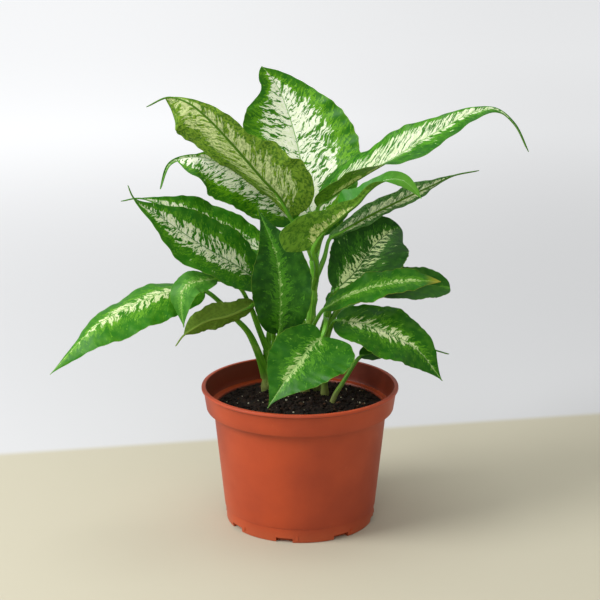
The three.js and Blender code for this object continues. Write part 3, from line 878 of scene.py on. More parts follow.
@dataclass(frozen=True)
class Pot:
    """The moulded nursery pot: a tapered body on a stepped foot, with a deep rim band and a lip."""

    height: float = 117
    lip_radius: float = 82.5
    lip_depth: float = 2.6
    band_top_radius: float = 80.8
    band_bottom_radius: float = 78.5
    band_bottom: float = 97.5
    body_top_radius: float = 72.5
    foot_top_radius: float = 64
    foot_top: float = 12.5
    foot_step: float = 0.6
    foot_radius: float = 62.5
    wall: float = 1.8
    floor: float = 5
    ledge: float = 99
    segments: int = 240
    notches: int = 8
    notch_width: float = 14
    notch_height: float = 4
    notch_depth: float = 5
    first_notch: float = -12
    cut_past: float = 3
    nub_size: Point = (1.6, 1.6, 3.4)
    nub_middle: float = 4.1
    nub_aside: float = 3.6
    nub_sunk: float = 0.05
    underside_lift: float = 0.4
    ring_width: float = 6
    crease: float = 32
    finish: PotFinish = PotFinish()

    def inner_radius(self, z: float) -> float:
        """Return the inner wall's radius at a height below the ledge."""
        share = (z - self.foot_top) / (self.band_bottom - self.foot_top)
        return lerp(self.foot_top_radius, self.body_top_radius, share) - self.wall

    def profile(self) -> list[Span]:
        """Trace the wall from the middle of the underside, round the lip, to the floor's middle.

        Returns:
            Radius and height of each point. The small steps off the sizes round the edges.
        """
        lip_bottom = self.height - self.lip_depth
        lip_inside = self.band_top_radius - self.wall
        band_inside = self.band_bottom_radius - self.wall
        rows = [
            (0, self.underside_lift),
            (self.foot_radius - self.ring_width, self.underside_lift),
            (self.foot_radius - self.ring_width + 2, 0),
            (self.foot_radius - 1, 0),
            (self.foot_radius - 0.3, 0.3),
            (self.foot_radius, 1),
            (self.foot_top_radius - self.foot_step, self.foot_top),
            (self.foot_top_radius - 0.12, self.foot_top + 0.25),
            (self.foot_top_radius, self.foot_top + self.foot_step),
        ]
        rows += self.taper(rows[-1], (self.body_top_radius, self.band_bottom - 1), 12)
        rows += [
            (self.body_top_radius + 0.5, self.band_bottom - 0.3),
            (self.body_top_radius + 1.6, self.band_bottom + 0.1),
            (self.band_bottom_radius - 1.2, self.band_bottom),
            (self.band_bottom_radius - 0.35, self.band_bottom + 0.25),
            (self.band_bottom_radius, self.band_bottom + 0.9),
        ]
        rows += self.taper(rows[-1], (self.band_top_radius, lip_bottom - 0.9), 3)
        rows += [
            (self.band_top_radius + 0.25, lip_bottom - 0.35),
            (self.lip_radius - 0.5, lip_bottom),
            (self.lip_radius, lip_bottom + 0.5),
            (self.lip_radius, self.height - 0.9),
            (self.lip_radius - 0.3, self.height - 0.3),
            (self.lip_radius - 1, self.height),
            (lip_inside + 0.5, self.height),
            (lip_inside, self.height - 0.4),
        ]
        rows += self.taper(rows[-1], (band_inside, self.ledge + 1.2), 5)
        rows += [
            (band_inside - 0.4, self.ledge + 0.4),
            (band_inside - 1.2, self.ledge),
            (self.inner_radius(self.ledge) + 0.5, self.ledge),
            (self.inner_radius(self.ledge - 1), self.ledge - 0.8),
            (self.inner_radius(self.floor), self.floor),
            (0, self.floor),
        ]
        return rows

    @staticmethod
    def taper(start: Span, end: Span, steps: int) -> list[Span]:
        """Return the points of a straight run of the wall, after its start."""
        shares = [i / steps for i in range(1, steps + 1)]
        return [(lerp(start[0], end[0], t), lerp(start[1], end[1], t)) for t in shares]

    def shell(self) -> bpy.types.Object:
        """Turn the profile into the plain shell.

        Returns:
            The shell's object.
        """
        rows = self.profile()
        angle = np.arange(self.segments) * math.tau / self.segments
        ring = np.stack([np.cos(angle), np.sin(angle)], -1)
        inner = rows[1:-1]
        points = np.array([[*(ring[j] * r), z] for r, z in inner for j in range(self.segments)])
        mould = Mould()
        start = mould.add(points, grid_faces(len(inner), self.segments, wrap=True))
        for (_, z), row, flip in ((rows[0], 0, True), (rows[-1], len(inner) - 1, False)):
            hub = mould.add(np.array([[0, 0, z]]), [])
            base = start + row * self.segments
            for j in range(self.segments):
                k = (j + 1) % self.segments
                face = (hub, base + j, base + k)
                mould.join([face[::-1] if flip else face])
        return mould.cast("pot_shell", [], self.crease)

    def box(self, size: Point, centre: Point, turn: float) -> bpy.types.Object:
        """Make a box for carving or adding.

        Args:
            size: Its three sizes.
            centre: Where its middle is before it is turned.
            turn: How far it is turned about the pot's axis, in radians.

        Returns:
            The box's object.
        """
        corner = [
            [centre[i] + size[i] * (0.5 if bit >> i & 1 else -0.5) for i in range(3)]
            for bit in range(8)
        ]
        faces = [(0, 2, 3, 1), (4, 5, 7, 6), (0, 1, 5, 4), (2, 6, 7, 3), (0, 4, 6, 2), (1, 3, 7, 5)]
        mould = Mould()
        mould.add(np.array(corner) @ turn_about_z(turn).T, faces)
        return mould.cast("pot_tool", [], self.crease)

    def carve(self, shell: bpy.types.Object, tool: bpy.types.Object, how: str) -> None:
        """Cut a tool out of the shell or join it on, and remove the tool.

        Args:
            shell: The object that changes.
            tool: The solid taken away or added.
            how: DIFFERENCE or UNION.
        """
        step = shell.modifiers.new("step", "BOOLEAN")
        step.operation = how
        step.solver = "EXACT"
        step.object = tool
        graph = bpy.context.evaluated_depsgraph_get()
        carved = bpy.data.meshes.new_from_object(shell.evaluated_get(graph))
        shell.modifiers.clear()
        old, shell.data = shell.data, carved
        bpy.data.meshes.remove(old)
        spare = tool.data
        bpy.data.objects.remove(tool)
        bpy.data.meshes.remove(spare)

    def make(self) -> bpy.types.Object:
        """Build the pot.

        Returns:
            The pot's object.
        """
        shell = self.shell()
        for i in range(self.notches):
            turn = math.radians(self.first_notch + 360 / self.notches * i)
            reach = self.notch_depth + self.cut_past
            middle = -(self.foot_radius - self.notch_depth + reach / 2)
            cut = self.box((self.notch_width, reach, 2 * self.notch_height), (0, middle, 0), turn)
            self.carve(shell, cut, "DIFFERENCE")
            aside = turn + (self.notch_width / 2 + self.nub_aside) / self.foot_radius
            seat = (0, -(self.foot_radius - self.nub_sunk), self.nub_middle)
            self.carve(shell, self.box(self.nub_size, seat, aside), "UNION")
        plastic = self.finish.material("terracotta_plastic")
        pot = place("pot_moulded", shell.data, [plastic], self.crease)
        bpy.data.objects.remove(shell)
        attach(pot, "root")
        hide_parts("pot")
        return pot


# ---- the potting mix ----------------------------------------------------------------------------


@dataclass(frozen=True)
class Crumbs:
    """One kind of loose crumb: its finish, how many, their radii and how flat they are."""

    name: str
    finish: CrumbFinish
    count: int
    radii: Span
    flat: float


@dataclass(frozen=True)
class PottingMix:
    """The mound of crumbly dark mix, with bark chips and pale mineral grains on it.

    The first kind of crumb also gives the mound its finish. Each lump layer has a fineness and a
    height.
    """

    pot: Pot
    edge_top: float = 97.6
    crown_top: float = 104
    fit: float = 0.42
    floor_gap: float = 0.32
    edge_clear: float = 2.0
    rings: int = 96
    segments: int = 300
    lumps: tuple[Span, ...] = ((0.11, 1.0), (0.37, 0.9), (1.1, 0.5))
    edge_calm: float = 0.7
    swell: float = 0.45
    lie: float = 0.25
    seed: int = 11
    kinds: tuple[Crumbs, ...] = (
        Crumbs(
            "potting_mix_dark",
            CrumbFinish(tint("0f0a07"), tint("3a281c"), 0.8, 700.0),
            1500,
            (0.5, 2.4),
            0.75,
        ),
        Crumbs(
            "potting_mix_bark",
            CrumbFinish(tint("2a1a10"), tint("6b4a30"), 0.75, 400.0),
            150,
            (0.8, 2.6),
            0.4,
        ),
        Crumbs(
            "potting_mix_mineral",
            CrumbFinish(tint("a59f82"), tint("dcd8c4"), 0.7, 500.0),
            120,
            (0.4, 1.1),
            0.8,
        ),
    )

    def surface(self, x: float, y: float) -> float:
        """Find the height of the mix, lumps included.

        Args:
            x: The place's distance to the right of the middle.
            y: Its distance behind the middle.

        Returns:
            The height.
        """
        reach = math.hypot(x, y) / self.pot.inner_radius(self.edge_top)
        rise = (1 + math.cos(math.pi * min(reach, 1))) / 2
        mound = lerp(self.edge_top, self.crown_top, rise)
        spot = Vector((x, y, 0))
        lumps = sum(noise.noise(spot * fine) * height for fine, height in self.lumps)
        return mound + lumps * (1 - smooth(reach, 0.97, 1.0) * self.edge_calm)

    def body(self, mould: Mould) -> None:
        """Add the mix itself, down to the pot's floor.

        Args:
            mould: Where it is added.
        """
        radius = self.pot.inner_radius(self.edge_top) - self.fit
        angle = np.arange(self.segments) * math.tau / self.segments
        points = []
        for i in range(1, self.rings + 1):
            r = radius * i / self.rings
            spots = [(r * math.cos(t), r * math.sin(t)) for t in angle]
            points += [(x, y, self.surface(x, y)) for x, y in spots]
        low = self.pot.inner_radius(self.pot.floor) - self.fit
        bottom = self.pot.floor + self.floor_gap
        points += [(low * math.cos(t), low * math.sin(t), bottom) for t in angle]
        quads = grid_faces(self.rings + 1, self.segments, wrap=True, flip=True)
        start = mould.add(np.array(points), quads)
        top = mould.add(np.array([[0, 0, self.surface(0, 0)]]), [])
        base = mould.add(np.array([[0, 0, bottom]]), [])
        last = start + self.rings * self.segments
        for j in range(self.segments):
            k = (j + 1) % self.segments
            mould.join([(top, start + j, start + k), (base, last + k, last + j)])

    def lump(self, mould: Mould, draw: random.Random, slot: int, kind: Crumbs) -> None:
        """Drop one rough lump on the mix.

        Args:
            mould: Where it is added.
            draw: The source of its place and shape.
            slot: Its material slot.
            kind: What kind of crumb it is.
        """
        radius = self.pot.inner_radius(self.edge_top) - self.fit - self.edge_clear
        r, turn = radius * math.sqrt(draw.random()), draw.uniform(0, math.tau)
        x, y = r * math.cos(turn), r * math.sin(turn)
        big = lerp(*kind.radii, draw.random() ** 2)
        stretch = np.array([1.0, draw.uniform(0.6, 0.95), kind.flat * draw.uniform(0.7, 1.2)])
        spin = draw.uniform(0, math.tau)
        tip = draw.uniform(-0.6, 0.6)
        shift = Vector((draw.uniform(0, 90), draw.uniform(0, 90), draw.uniform(0, 90)))
        rows = []
        for corner in ROUGH_BALL[0]:
            swell = 1 + self.swell * noise.noise(Vector(corner) * 1.4 + shift)
            rows.append(np.array(corner) * swell * stretch * big)
        cosine, sine = math.cos(tip), math.sin(tip)
        tipped = np.array([[1, 0, 0], [0, cosine, -sine], [0, sine, cosine]])
        seat = [x, y, self.surface(x, y) + big * kind.flat * self.lie]
        mould.add(np.array(rows) @ (turn_about_z(spin) @ tipped).T + seat, ROUGH_BALL[1], slot)

    def make(self) -> bpy.types.Object:
        """Build the mix.

        Returns:
            Its object.
        """
        mould = Mould()
        self.body(mould)
        draw = random.Random(self.seed)
        for slot, kind in enumerate(self.kinds):
            for _ in range(kind.count):
                self.lump(mould, draw, slot, kind)
        materials = [kind.finish.material(kind.name) for kind in self.kinds]
        mix = mould.cast("potting_mix", materials, 60)
        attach(mix, "root")
        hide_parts("soil")
        return mix


def rough_ball() -> tuple[list[Point], Faces]:
    """Make a ball of 80 triangles.

    Returns:
        Its corners and its faces.
    """
    ball = bmesh.new()
    bmesh.ops.create_icosphere(ball, subdivisions=2, radius=1)
    corners = [tuple(v.co) for v in ball.verts]
    faces = [tuple(v.index for v in f.verts) for f in ball.faces]
    ball.free()
    return corners, faces


ROUGH_BALL = rough_ball()


# ---- shoots -------------------------------------------------------------------------------------


@dataclass(frozen=True)
class Shoot:
    """A main shoot, ringed where leaves have come from it."""

    name: str
    path: list[Point]
    radii: Span
    sides: int = 28
    step: float = 1.2
    ring_spacing: float = 16
    ring_bulge: float = 0.35
    scar_height: float = 0.35
    scar_width: float = 0.05
    tip_taper: float = 9

    def make(self, material: bpy.types.Material) -> bpy.types.Object:
        """Build the shoot.

        Args:
            material: Its material.

        Returns:
            Its object.
        """
        curve = Curve(self.path)
        rings = int(curve.length / self.step)
        share = np.linspace(0, 1, rings)
        wave = np.cos(math.tau * share * curve.length / self.ring_spacing)
        scar = self.scar_height * bell(wave - 1, self.scar_width)
        radius = lerp(*self.radii, share) + self.ring_bulge * wave + scar
        left = (1 - share) * curve.length
        radius *= np.sqrt(np.clip(left / self.tip_taper, 0.002, 1))
        turn = (np.arange(self.sides) * math.tau / self.sides)[None]
        twist = 3 * turn + 5 * share[:, None]
        flute = 1 + 0.03 * np.sin(twist) + 0.015 * np.sin(7 * turn)
        mould = Mould()
        across = np.tile([1.0, 0.2, 0.0], (rings, 1))
        tube(mould, curve.at(share), across, radius[:, None] * flute, 0, curve.length)
        shoot = mould.cast(f"{self.name}_ringed", [material], 60)
        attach(shoot, "root")
        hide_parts(self.name)
        return shoot


SHOOTS = [
    Shoot("cane_left", [(-30, 34, 72), (-29, 33, 102), (-28, 32, 123), (-27, 30, 152)], (5, 3.4)),
    Shoot(
        "cane_main",
        [(2, 20, 72), (3, 20, 100), (5, 22, 131), (9, 24, 166), (12, 27, 209), (11, 30, 244)],
        (4.8, 3.4),
    ),
    Shoot("cane_front", [(22, 17, 72), (21, 15, 103), (20, 10, 135), (18, 5, 166)], (3.4, 2.8)),
    Shoot("cane_right", [(15, 33, 72), (15, 31, 101), (19, 34, 140), (26, 36, 182)], (3.8, 2.8)),
]


# ---- leaves -------------------------------------------------------------------------------------


@dataclass(frozen=True)
class Half:
    """One side of a blade.

    It has a greatest width, the share along the midrib where that is, how fast it narrows to the
    tip, and how steeply it folds up and curls, in degrees, at stations evenly spaced from base to
    tip. The ruffle is the height of the fine waves along its margin. A dent has a place and a
    spread along the midrib, and takes off a share of the width.
    """

    LEAST_CURL = 1e-3  # radians, because the curl divides

    width: float
    wide: float
    narrow: float
    fold: tuple[float, ...]
    curl: tuple[float, ...]
    ruffle: float = 0.7
    dents: tuple[Point, ...] = ()

    def share(self, s: np.ndarray, round_base: float, drip: float) -> np.ndarray:
        """Return the width at shares s of the blade, as a share of the greatest.

        Args:
            s: Shares along the midrib.
            round_base: How bluntly the base is rounded.
            drip: The share of the blade that is a thin tip.

        Returns:
            One share of the width for each s.
        """
        base = (1 - np.clip(1 - s / self.wide, 0, 1) ** 2) ** round_base
        past = np.clip((s - self.wide) / (1 - self.wide - drip), 0, 1)
        kept = np.ones_like(s)
        for at, spread, depth in self.dents:
            kept *= 1 - depth * bell(s - at, spread)
        return kept * np.where(s < self.wide, base, np.cos(math.pi / 2 * past) ** self.narrow)

    def angles(self, s: np.ndarray) -> tuple[np.ndarray, np.ndarray]:
        """Read the fold and the curl.

        Args:
            s: Shares along the midrib.

        Returns:
            Both in radians, one of each for each s. The curl is never quite 0.
        """
        fold, curl = (
            np.radians(np.interp(s, np.linspace(0, 1, len(stops)), stops))
            for stops in (self.fold, self.curl)
        )
        return fold, np.where(np.abs(curl) < self.LEAST_CURL, self.LEAST_CURL, curl)


@dataclass(frozen=True)
class Leaf:
    """One leaf: its stalk, its midrib and the two halves of its blade.

    The faces are the directions that the upper side looks, evenly spaced from base to tip. Left is
    the side on the left hand when looking along the midrib with the upper side up. The stalk runs
    out under the midrib at shares of it, a share of its radius below. Its groove has a depth and a
    spread round it, and its wings a height, a lean and a spread: shares of the radius and radians.
    """

    NIBBLES = (6.3, 11.7, 19.1)  # how often the margin's small unevenness repeats
    FRILLS = (5.2, 8.1, 12.7)  # how often its ruffle does

    name: str
    stalk: list[Point]
    rib: list[Point]
    face: list[Point]
    left: Half
    right: Half
    finish: LeafFinish
    drip: float = 0.0
    lobe: float = 4.0
    round_base: float = 0.5
    tail: float = 1.2
    stalk_radius: Span = (2.7, 1.7)
    seed: int = 0
    thickness: float = 0.5
    stations: int = 130
    per_side: int = 18
    rib_radius: float = 1.5
    rib_tip: float = 0.4
    ripple_height: float = 2
    ripple_count: float = 3
    ripple_phase: float = 0.4
    lobe_reach: float = 0.35
    vein_slant: float = 0.55
    vein_curve: float = 0.0035
    vein_pitch: float = 8.5
    vein_depth: float = 0.1
    vein_rise: Span = (1.5, 6)
    nibble: float = 0.012
    least_width: float = 0.25
    base_tail: float = 1.2
    margin: Span = (0.8, 1.0)
    margin_thinning: float = 0.55
    rib_groove: float = 0.35
    rib_groove_spread: float = 1.1
    run_out: tuple[Point, Point] = ((0.0, 0.07, 0.16), (0.35, 0.85, 0.9))
    run_out_taper: float = 0.72
    stalk_sides: int = 24
    stalk_step: float = 2
    stalk_groove: Span = (0.28, 0.45)
    wing: Point = (0.42, 0.85, 0.3)
    wing_end: Span = (0.32, 0.6)

    def frames(self, s: np.ndarray) -> tuple[np.ndarray, np.ndarray, np.ndarray]:
        """Find the blade's directions along the midrib.

        Args:
            s: Shares along the midrib.

        Returns:
            The directions along it, up from the upper side, and out to the left.
        """
        along = Curve(self.rib).along(s)
        looks = unit(np.asarray(self.face * (2 if len(self.face) == 1 else 1), float))
        stops = np.linspace(0, 1, len(looks))
        up = np.stack([np.interp(s, stops, looks[:, k]) for k in range(3)], -1)
        up = unit(up - along * (up * along).sum(-1, keepdims=True))
        return along, up, np.cross(up, along)

    def blade_points(self) -> tuple[np.ndarray, np.ndarray, np.ndarray, np.ndarray]:
        """Place the blade's middle surface.

        Returns:
            The points, one row for each station and one column across, the directions up at each
            station, the shares along and across, and the distances along and across.
        """
        even = np.linspace(0, 1, self.stations + 1)
        s = even * 0.5 + (1 - np.cos(math.pi * even)) * 0.25  # closer together at both ends
        curve = Curve(self.rib)
        centre = curve.at(s)
        along, up, side = self.frames(s)
        steps = (np.arange(1, self.per_side + 1) / self.per_side) ** 1.15
        signed = np.concatenate([-steps[::-1], [0], steps])
        points = np.empty((len(s), len(signed), 3))
        maps = np.empty((len(s), len(signed), 2))
        spans = np.empty((len(s), len(signed), 2))
        for j, v in enumerate(signed):
            left, a = bool(v > 0), abs(v)
            half = self.left if left else self.right
            share = half.share(s, self.round_base, self.drip)
            width = self.half_width(s, half, share, left)
            fold, curl = half.angles(s)
            out = width * (np.sin(fold + curl * a) - np.sin(fold)) / curl
            lift = width * (np.cos(fold) - np.cos(fold + curl * a)) / curl
            distance = width * a
            for wave in self.waves(s, half, share, left, a):
                lift += wave
            lift += self.quilting(s * curve.length, distance) * fade(a, *self.margin)
            lobe = self.lobe * a**1.5 * np.maximum(0, 1 - s / self.lobe_reach) ** 2
            back = lobe * np.minimum(1, share * 1.6)
            sideways = side * (np.sign(v) * out)[:, None]
            points[:, j] = centre + sideways + up * lift[:, None] - along * back[:, None]
            maps[:, j] = np.stack([s, np.full_like(s, 0.5 + v / 2)], -1)
            spans[:, j] = np.stack([s * curve.length, np.sign(v) * distance], -1) / DECIMETRE
        return points, up, maps, spans

    def half_width(self, s: np.ndarray, half: Half, share: np.ndarray, left: bool) -> np.ndarray:
        """Find a half's width, with its slightly uneven margin and its thin ends.

        Args:
            s: Shares along the midrib.
            half: The half.
            share: Its plain width at each s, as a share of the greatest.
            left: Whether it is the left one.

        Returns:
            One width for each s.
        """
        nibble = Wave(self.seed * 7 + int(left), self.NIBBLES)
        least = self.least_width + np.where(s > 0.5, self.tail, self.base_tail) * np.sqrt(1 - s)
        return np.maximum(half.width * share * (1 + self.nibble * nibble(s)), least)

    def waves(
        self, s: np.ndarray, half: Half, share: np.ndarray, left: bool, a: float
    ) -> tuple[np.ndarray, np.ndarray]:
        """Find how far the blade's waves lift it, calmer towards its base and tip.

        Args:
            s: Shares along the midrib.
            half: The half.
            share: Its plain width at each s, as a share of the greatest.
            left: Whether it is the left one.
            a: The share of the width at which the lifts are wanted.

        Returns:
            The lifts by the long ripples and by the fine ruffle.
        """
        calm = np.minimum(1, 6 * s * (1 - s))
        phase = 0 if left else self.ripple_phase
        ripple = np.sin(math.tau * (self.ripple_count * s + phase))
        frill = Wave(self.seed * 5 + 2 * int(left), self.FRILLS)(s)
        return (
            self.ripple_height * a**2 * ripple * calm * share,
            half.ruffle * a**3 * frill * calm * np.minimum(1, share * 1.5),
        )

    def quilting(self, run: np.ndarray, distance: np.ndarray) -> np.ndarray:
        """Find how far the side veins lift the blade.

        Args:
            run: Distances along the midrib.
            distance: Distances out from it.

        Returns:
            One lift for each pair of distances.
        """
        vein = run - distance * (self.vein_slant + self.vein_curve * distance)
        quilt = np.cos(math.tau * vein / self.vein_pitch)
        return self.vein_depth * quilt * smooth(distance, *self.vein_rise)

    def blade(self, mould: Mould) -> None:
        """Add the blade: its faces, the groove over the midrib, the keel under it and the margin.

        Args:
            mould: Where it is added.
        """
        points, up, maps, spans = self.blade_points()
        rows, columns = points.shape[:2]
        normal = unit(np.cross(np.gradient(points, axis=1), np.gradient(points, axis=0)))
        facing = np.sign((normal * up[:, None]).sum(-1, keepdims=True))
        normal *= np.where(facing == 0, 1, facing)
        s = maps[:, :1, 0]
        a = np.abs(maps[..., 1] * 2 - 1)
        distance = np.abs(spans[..., 1]) * DECIMETRE
        half = self.thickness / 2 * (1 - self.margin_thinning * smooth(a, *self.margin))
        rib = lerp(self.rib_radius, self.rib_tip, s)
        keel = rib * bell(distance, 0.9 * rib + 0.3) * fade(s, 0.97, 1.0)
        groove = self.rib_groove * bell(distance, self.rib_groove_spread)
        groove = groove * smooth(s, 0.02, 0.1) * fade(s, 0.85, 1.0)
        top = points + normal * (half - groove)[..., None]
        bottom = points - normal * (half + keel)[..., None]
        upper = mould.add(top, grid_faces(rows, columns, flip=True), 0, maps, spans)
        under = mould.add(bottom, grid_faces(rows, columns), 1, maps, spans)
        rim = [i * columns for i in range(rows)]
        rim += [(rows - 1) * columns + j for j in range(1, columns)]
        rim += [i * columns + columns - 1 for i in range(rows - 2, -1, -1)]
        rim += list(range(columns - 2, 0, -1))
        loop = list(zip(rim, rim[1:] + rim[:1]))
        mould.join([(upper + b, upper + a, under + a, under + b) for a, b in loop], 0)

    def stem(self, mould: Mould) -> None:
        """Add the stalk, grooved above and sheathing at its foot, running out into the keel.

        Args:
            mould: Where it is added.
        """
        stops, drops = (np.array(row) for row in self.run_out)
        _, up, _ = self.frames(stops)
        tail = Curve(self.rib).at(stops) - up * (drops[:, None] * self.stalk_radius[1])
        curve = Curve([*self.stalk[:-1], *(tuple(p) for p in tail)])
        u = np.linspace(0, 1, max(24, int(curve.length / self.stalk_step)))
        across = self.stalk_top(u, curve.along(u), up[0])
        body = Curve(self.stalk).length / curve.length
        radius = lerp(*self.stalk_radius, np.sqrt(np.clip(u / body, 0, 1)))
        radius = radius * (1 - self.run_out_taper * smooth(u, body, 1.0))
        tube(mould, curve.at(u), across, radius[:, None] * self.stalk_section(u), 2, curve.length)

    def stalk_top(self, u: np.ndarray, along: np.ndarray, blade_up: np.ndarray) -> np.ndarray:
        """Find which way the stalk's grooved side looks, turning to the blade's way by its end.

        Args:
            u: Shares along the stalk.
            along: Its direction at each u.
            blade_up: The direction up from the blade's base.

        Returns:
            One direction for each u.
        """
        ahead = np.array([self.rib[-1][0] - self.rib[0][0], self.rib[-1][1] - self.rib[0][1], 0.0])
        ahead = ahead / np.linalg.norm(ahead)
        flat = (along * ahead).sum(-1, keepdims=True)
        above = unit(np.array([0, 0, 1.0]) * np.maximum(flat, 0.05) - ahead * along[:, 2:3])
        return unit(above * (1 - u[:, None] ** 2) + blade_up * u[:, None] ** 2)

    def stalk_section(self, u: np.ndarray) -> np.ndarray:
        """Shape the stalk's rings, with the groove and, low down, the wings of its sheath.

        Args:
            u: Shares along the stalk.

        Returns:
            One row for each u, one share of the radius for each side.
        """
        turn = np.arange(self.stalk_sides) * math.tau / self.stalk_sides
        turn = np.where(turn > math.pi, turn - math.tau, turn)
        depth, spread = self.stalk_groove
        shape = 1 - depth * bell(turn, spread)[None] * smooth(u, 0.02, 0.12)[:, None]
        height, lean, spread = self.wing
        wing = height * fade(u, *self.wing_end) * smooth(u, 0.0, 0.06)
        for at in (-lean, lean):
            shape = shape + wing[:, None] * bell(turn - at, spread)[None]
        return shape

    def make(self, stalk_material: bpy.types.Material) -> bpy.types.Object:
        """Build the leaf.

        Args:
            stalk_material: The material of its stalk.

        Returns:
            Its object.
        """
        mould = Mould()
        self.blade(mould)
        self.stem(mould)
        seed = self.seed * 3.17
        materials = [self.finish.material(face, self.name, seed) for face in Face]
        leaf = mould.cast(f"{self.name}_blade", [*materials, stalk_material], 62)
        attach(leaf, "root")
        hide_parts(self.name)
        return leaf


WHITE_HEART = LeafFinish(
    deep=tint("2c7210"),
    heart=tint("fbfbf0"),
    heart_shade=tint("d8e5bd"),
    rib=tint("8dbb66"),
    rib_show=0.9,
    reach=0.54,
    halo=0.36,
)
PALE_HEART = LeafFinish(
    deep=tint("28700c"), fresh=tint("5f9f1e"), reach=0.38, halo=0.2, rib=tint("4c8a2c")
)
THIN_HEART = LeafFinish(
    fresh=tint("5f9f1e"),
    heart=tint("e8eec4"),
    heart_shade=tint("bdd684"),
    rib=tint("8fb863"),
    reach=0.2,
    halo=0.22,
    solid=0.35,
)
FAINT_HEART = LeafFinish(
    fresh=tint("6aa82e"),
    heart=tint("a9c774"),
    rib=tint("7fb04a"),
    reach=-0.2,
    feather=0.6,
    fleck=0.4,
)
# A darker copy of the faint heart: partly the leaf's own darker green, partly painted shade where other
# leaves shadow it.
DARK_AND_SHADED_FAINT = replace(
    FAINT_HEART,
    deep=tint("1a4f0b"),
    fresh=tint("4a8c1c"),
    heart=tint("6fa83a"),
    reach=0.0,
    feather=0.8,
    fleck=0.6,
    rib=tint("69a23c"),
    rib_show=0.7,
)
# Dark greens: partly the leaf's own, partly painted shade where other leaves shadow it.
DARK_AND_SHADED_STREAKS = LeafFinish(
    deep=tint("184a06"),
    fresh=tint("3d7a14"),
    heart=tint("d3e2a4"),
    rib=tint("2f6a16"),
    reach=0.2,
    halo=0.34,
    feather=1.1,
    solid=0.3,
)
PLAIN = LeafFinish(
    deep=tint("27600f"),
    fresh=tint("528f22"),
    rib=tint("5c9234"),
    reach=-0.9,
    feather=0.4,
    fleck=0.3,
)

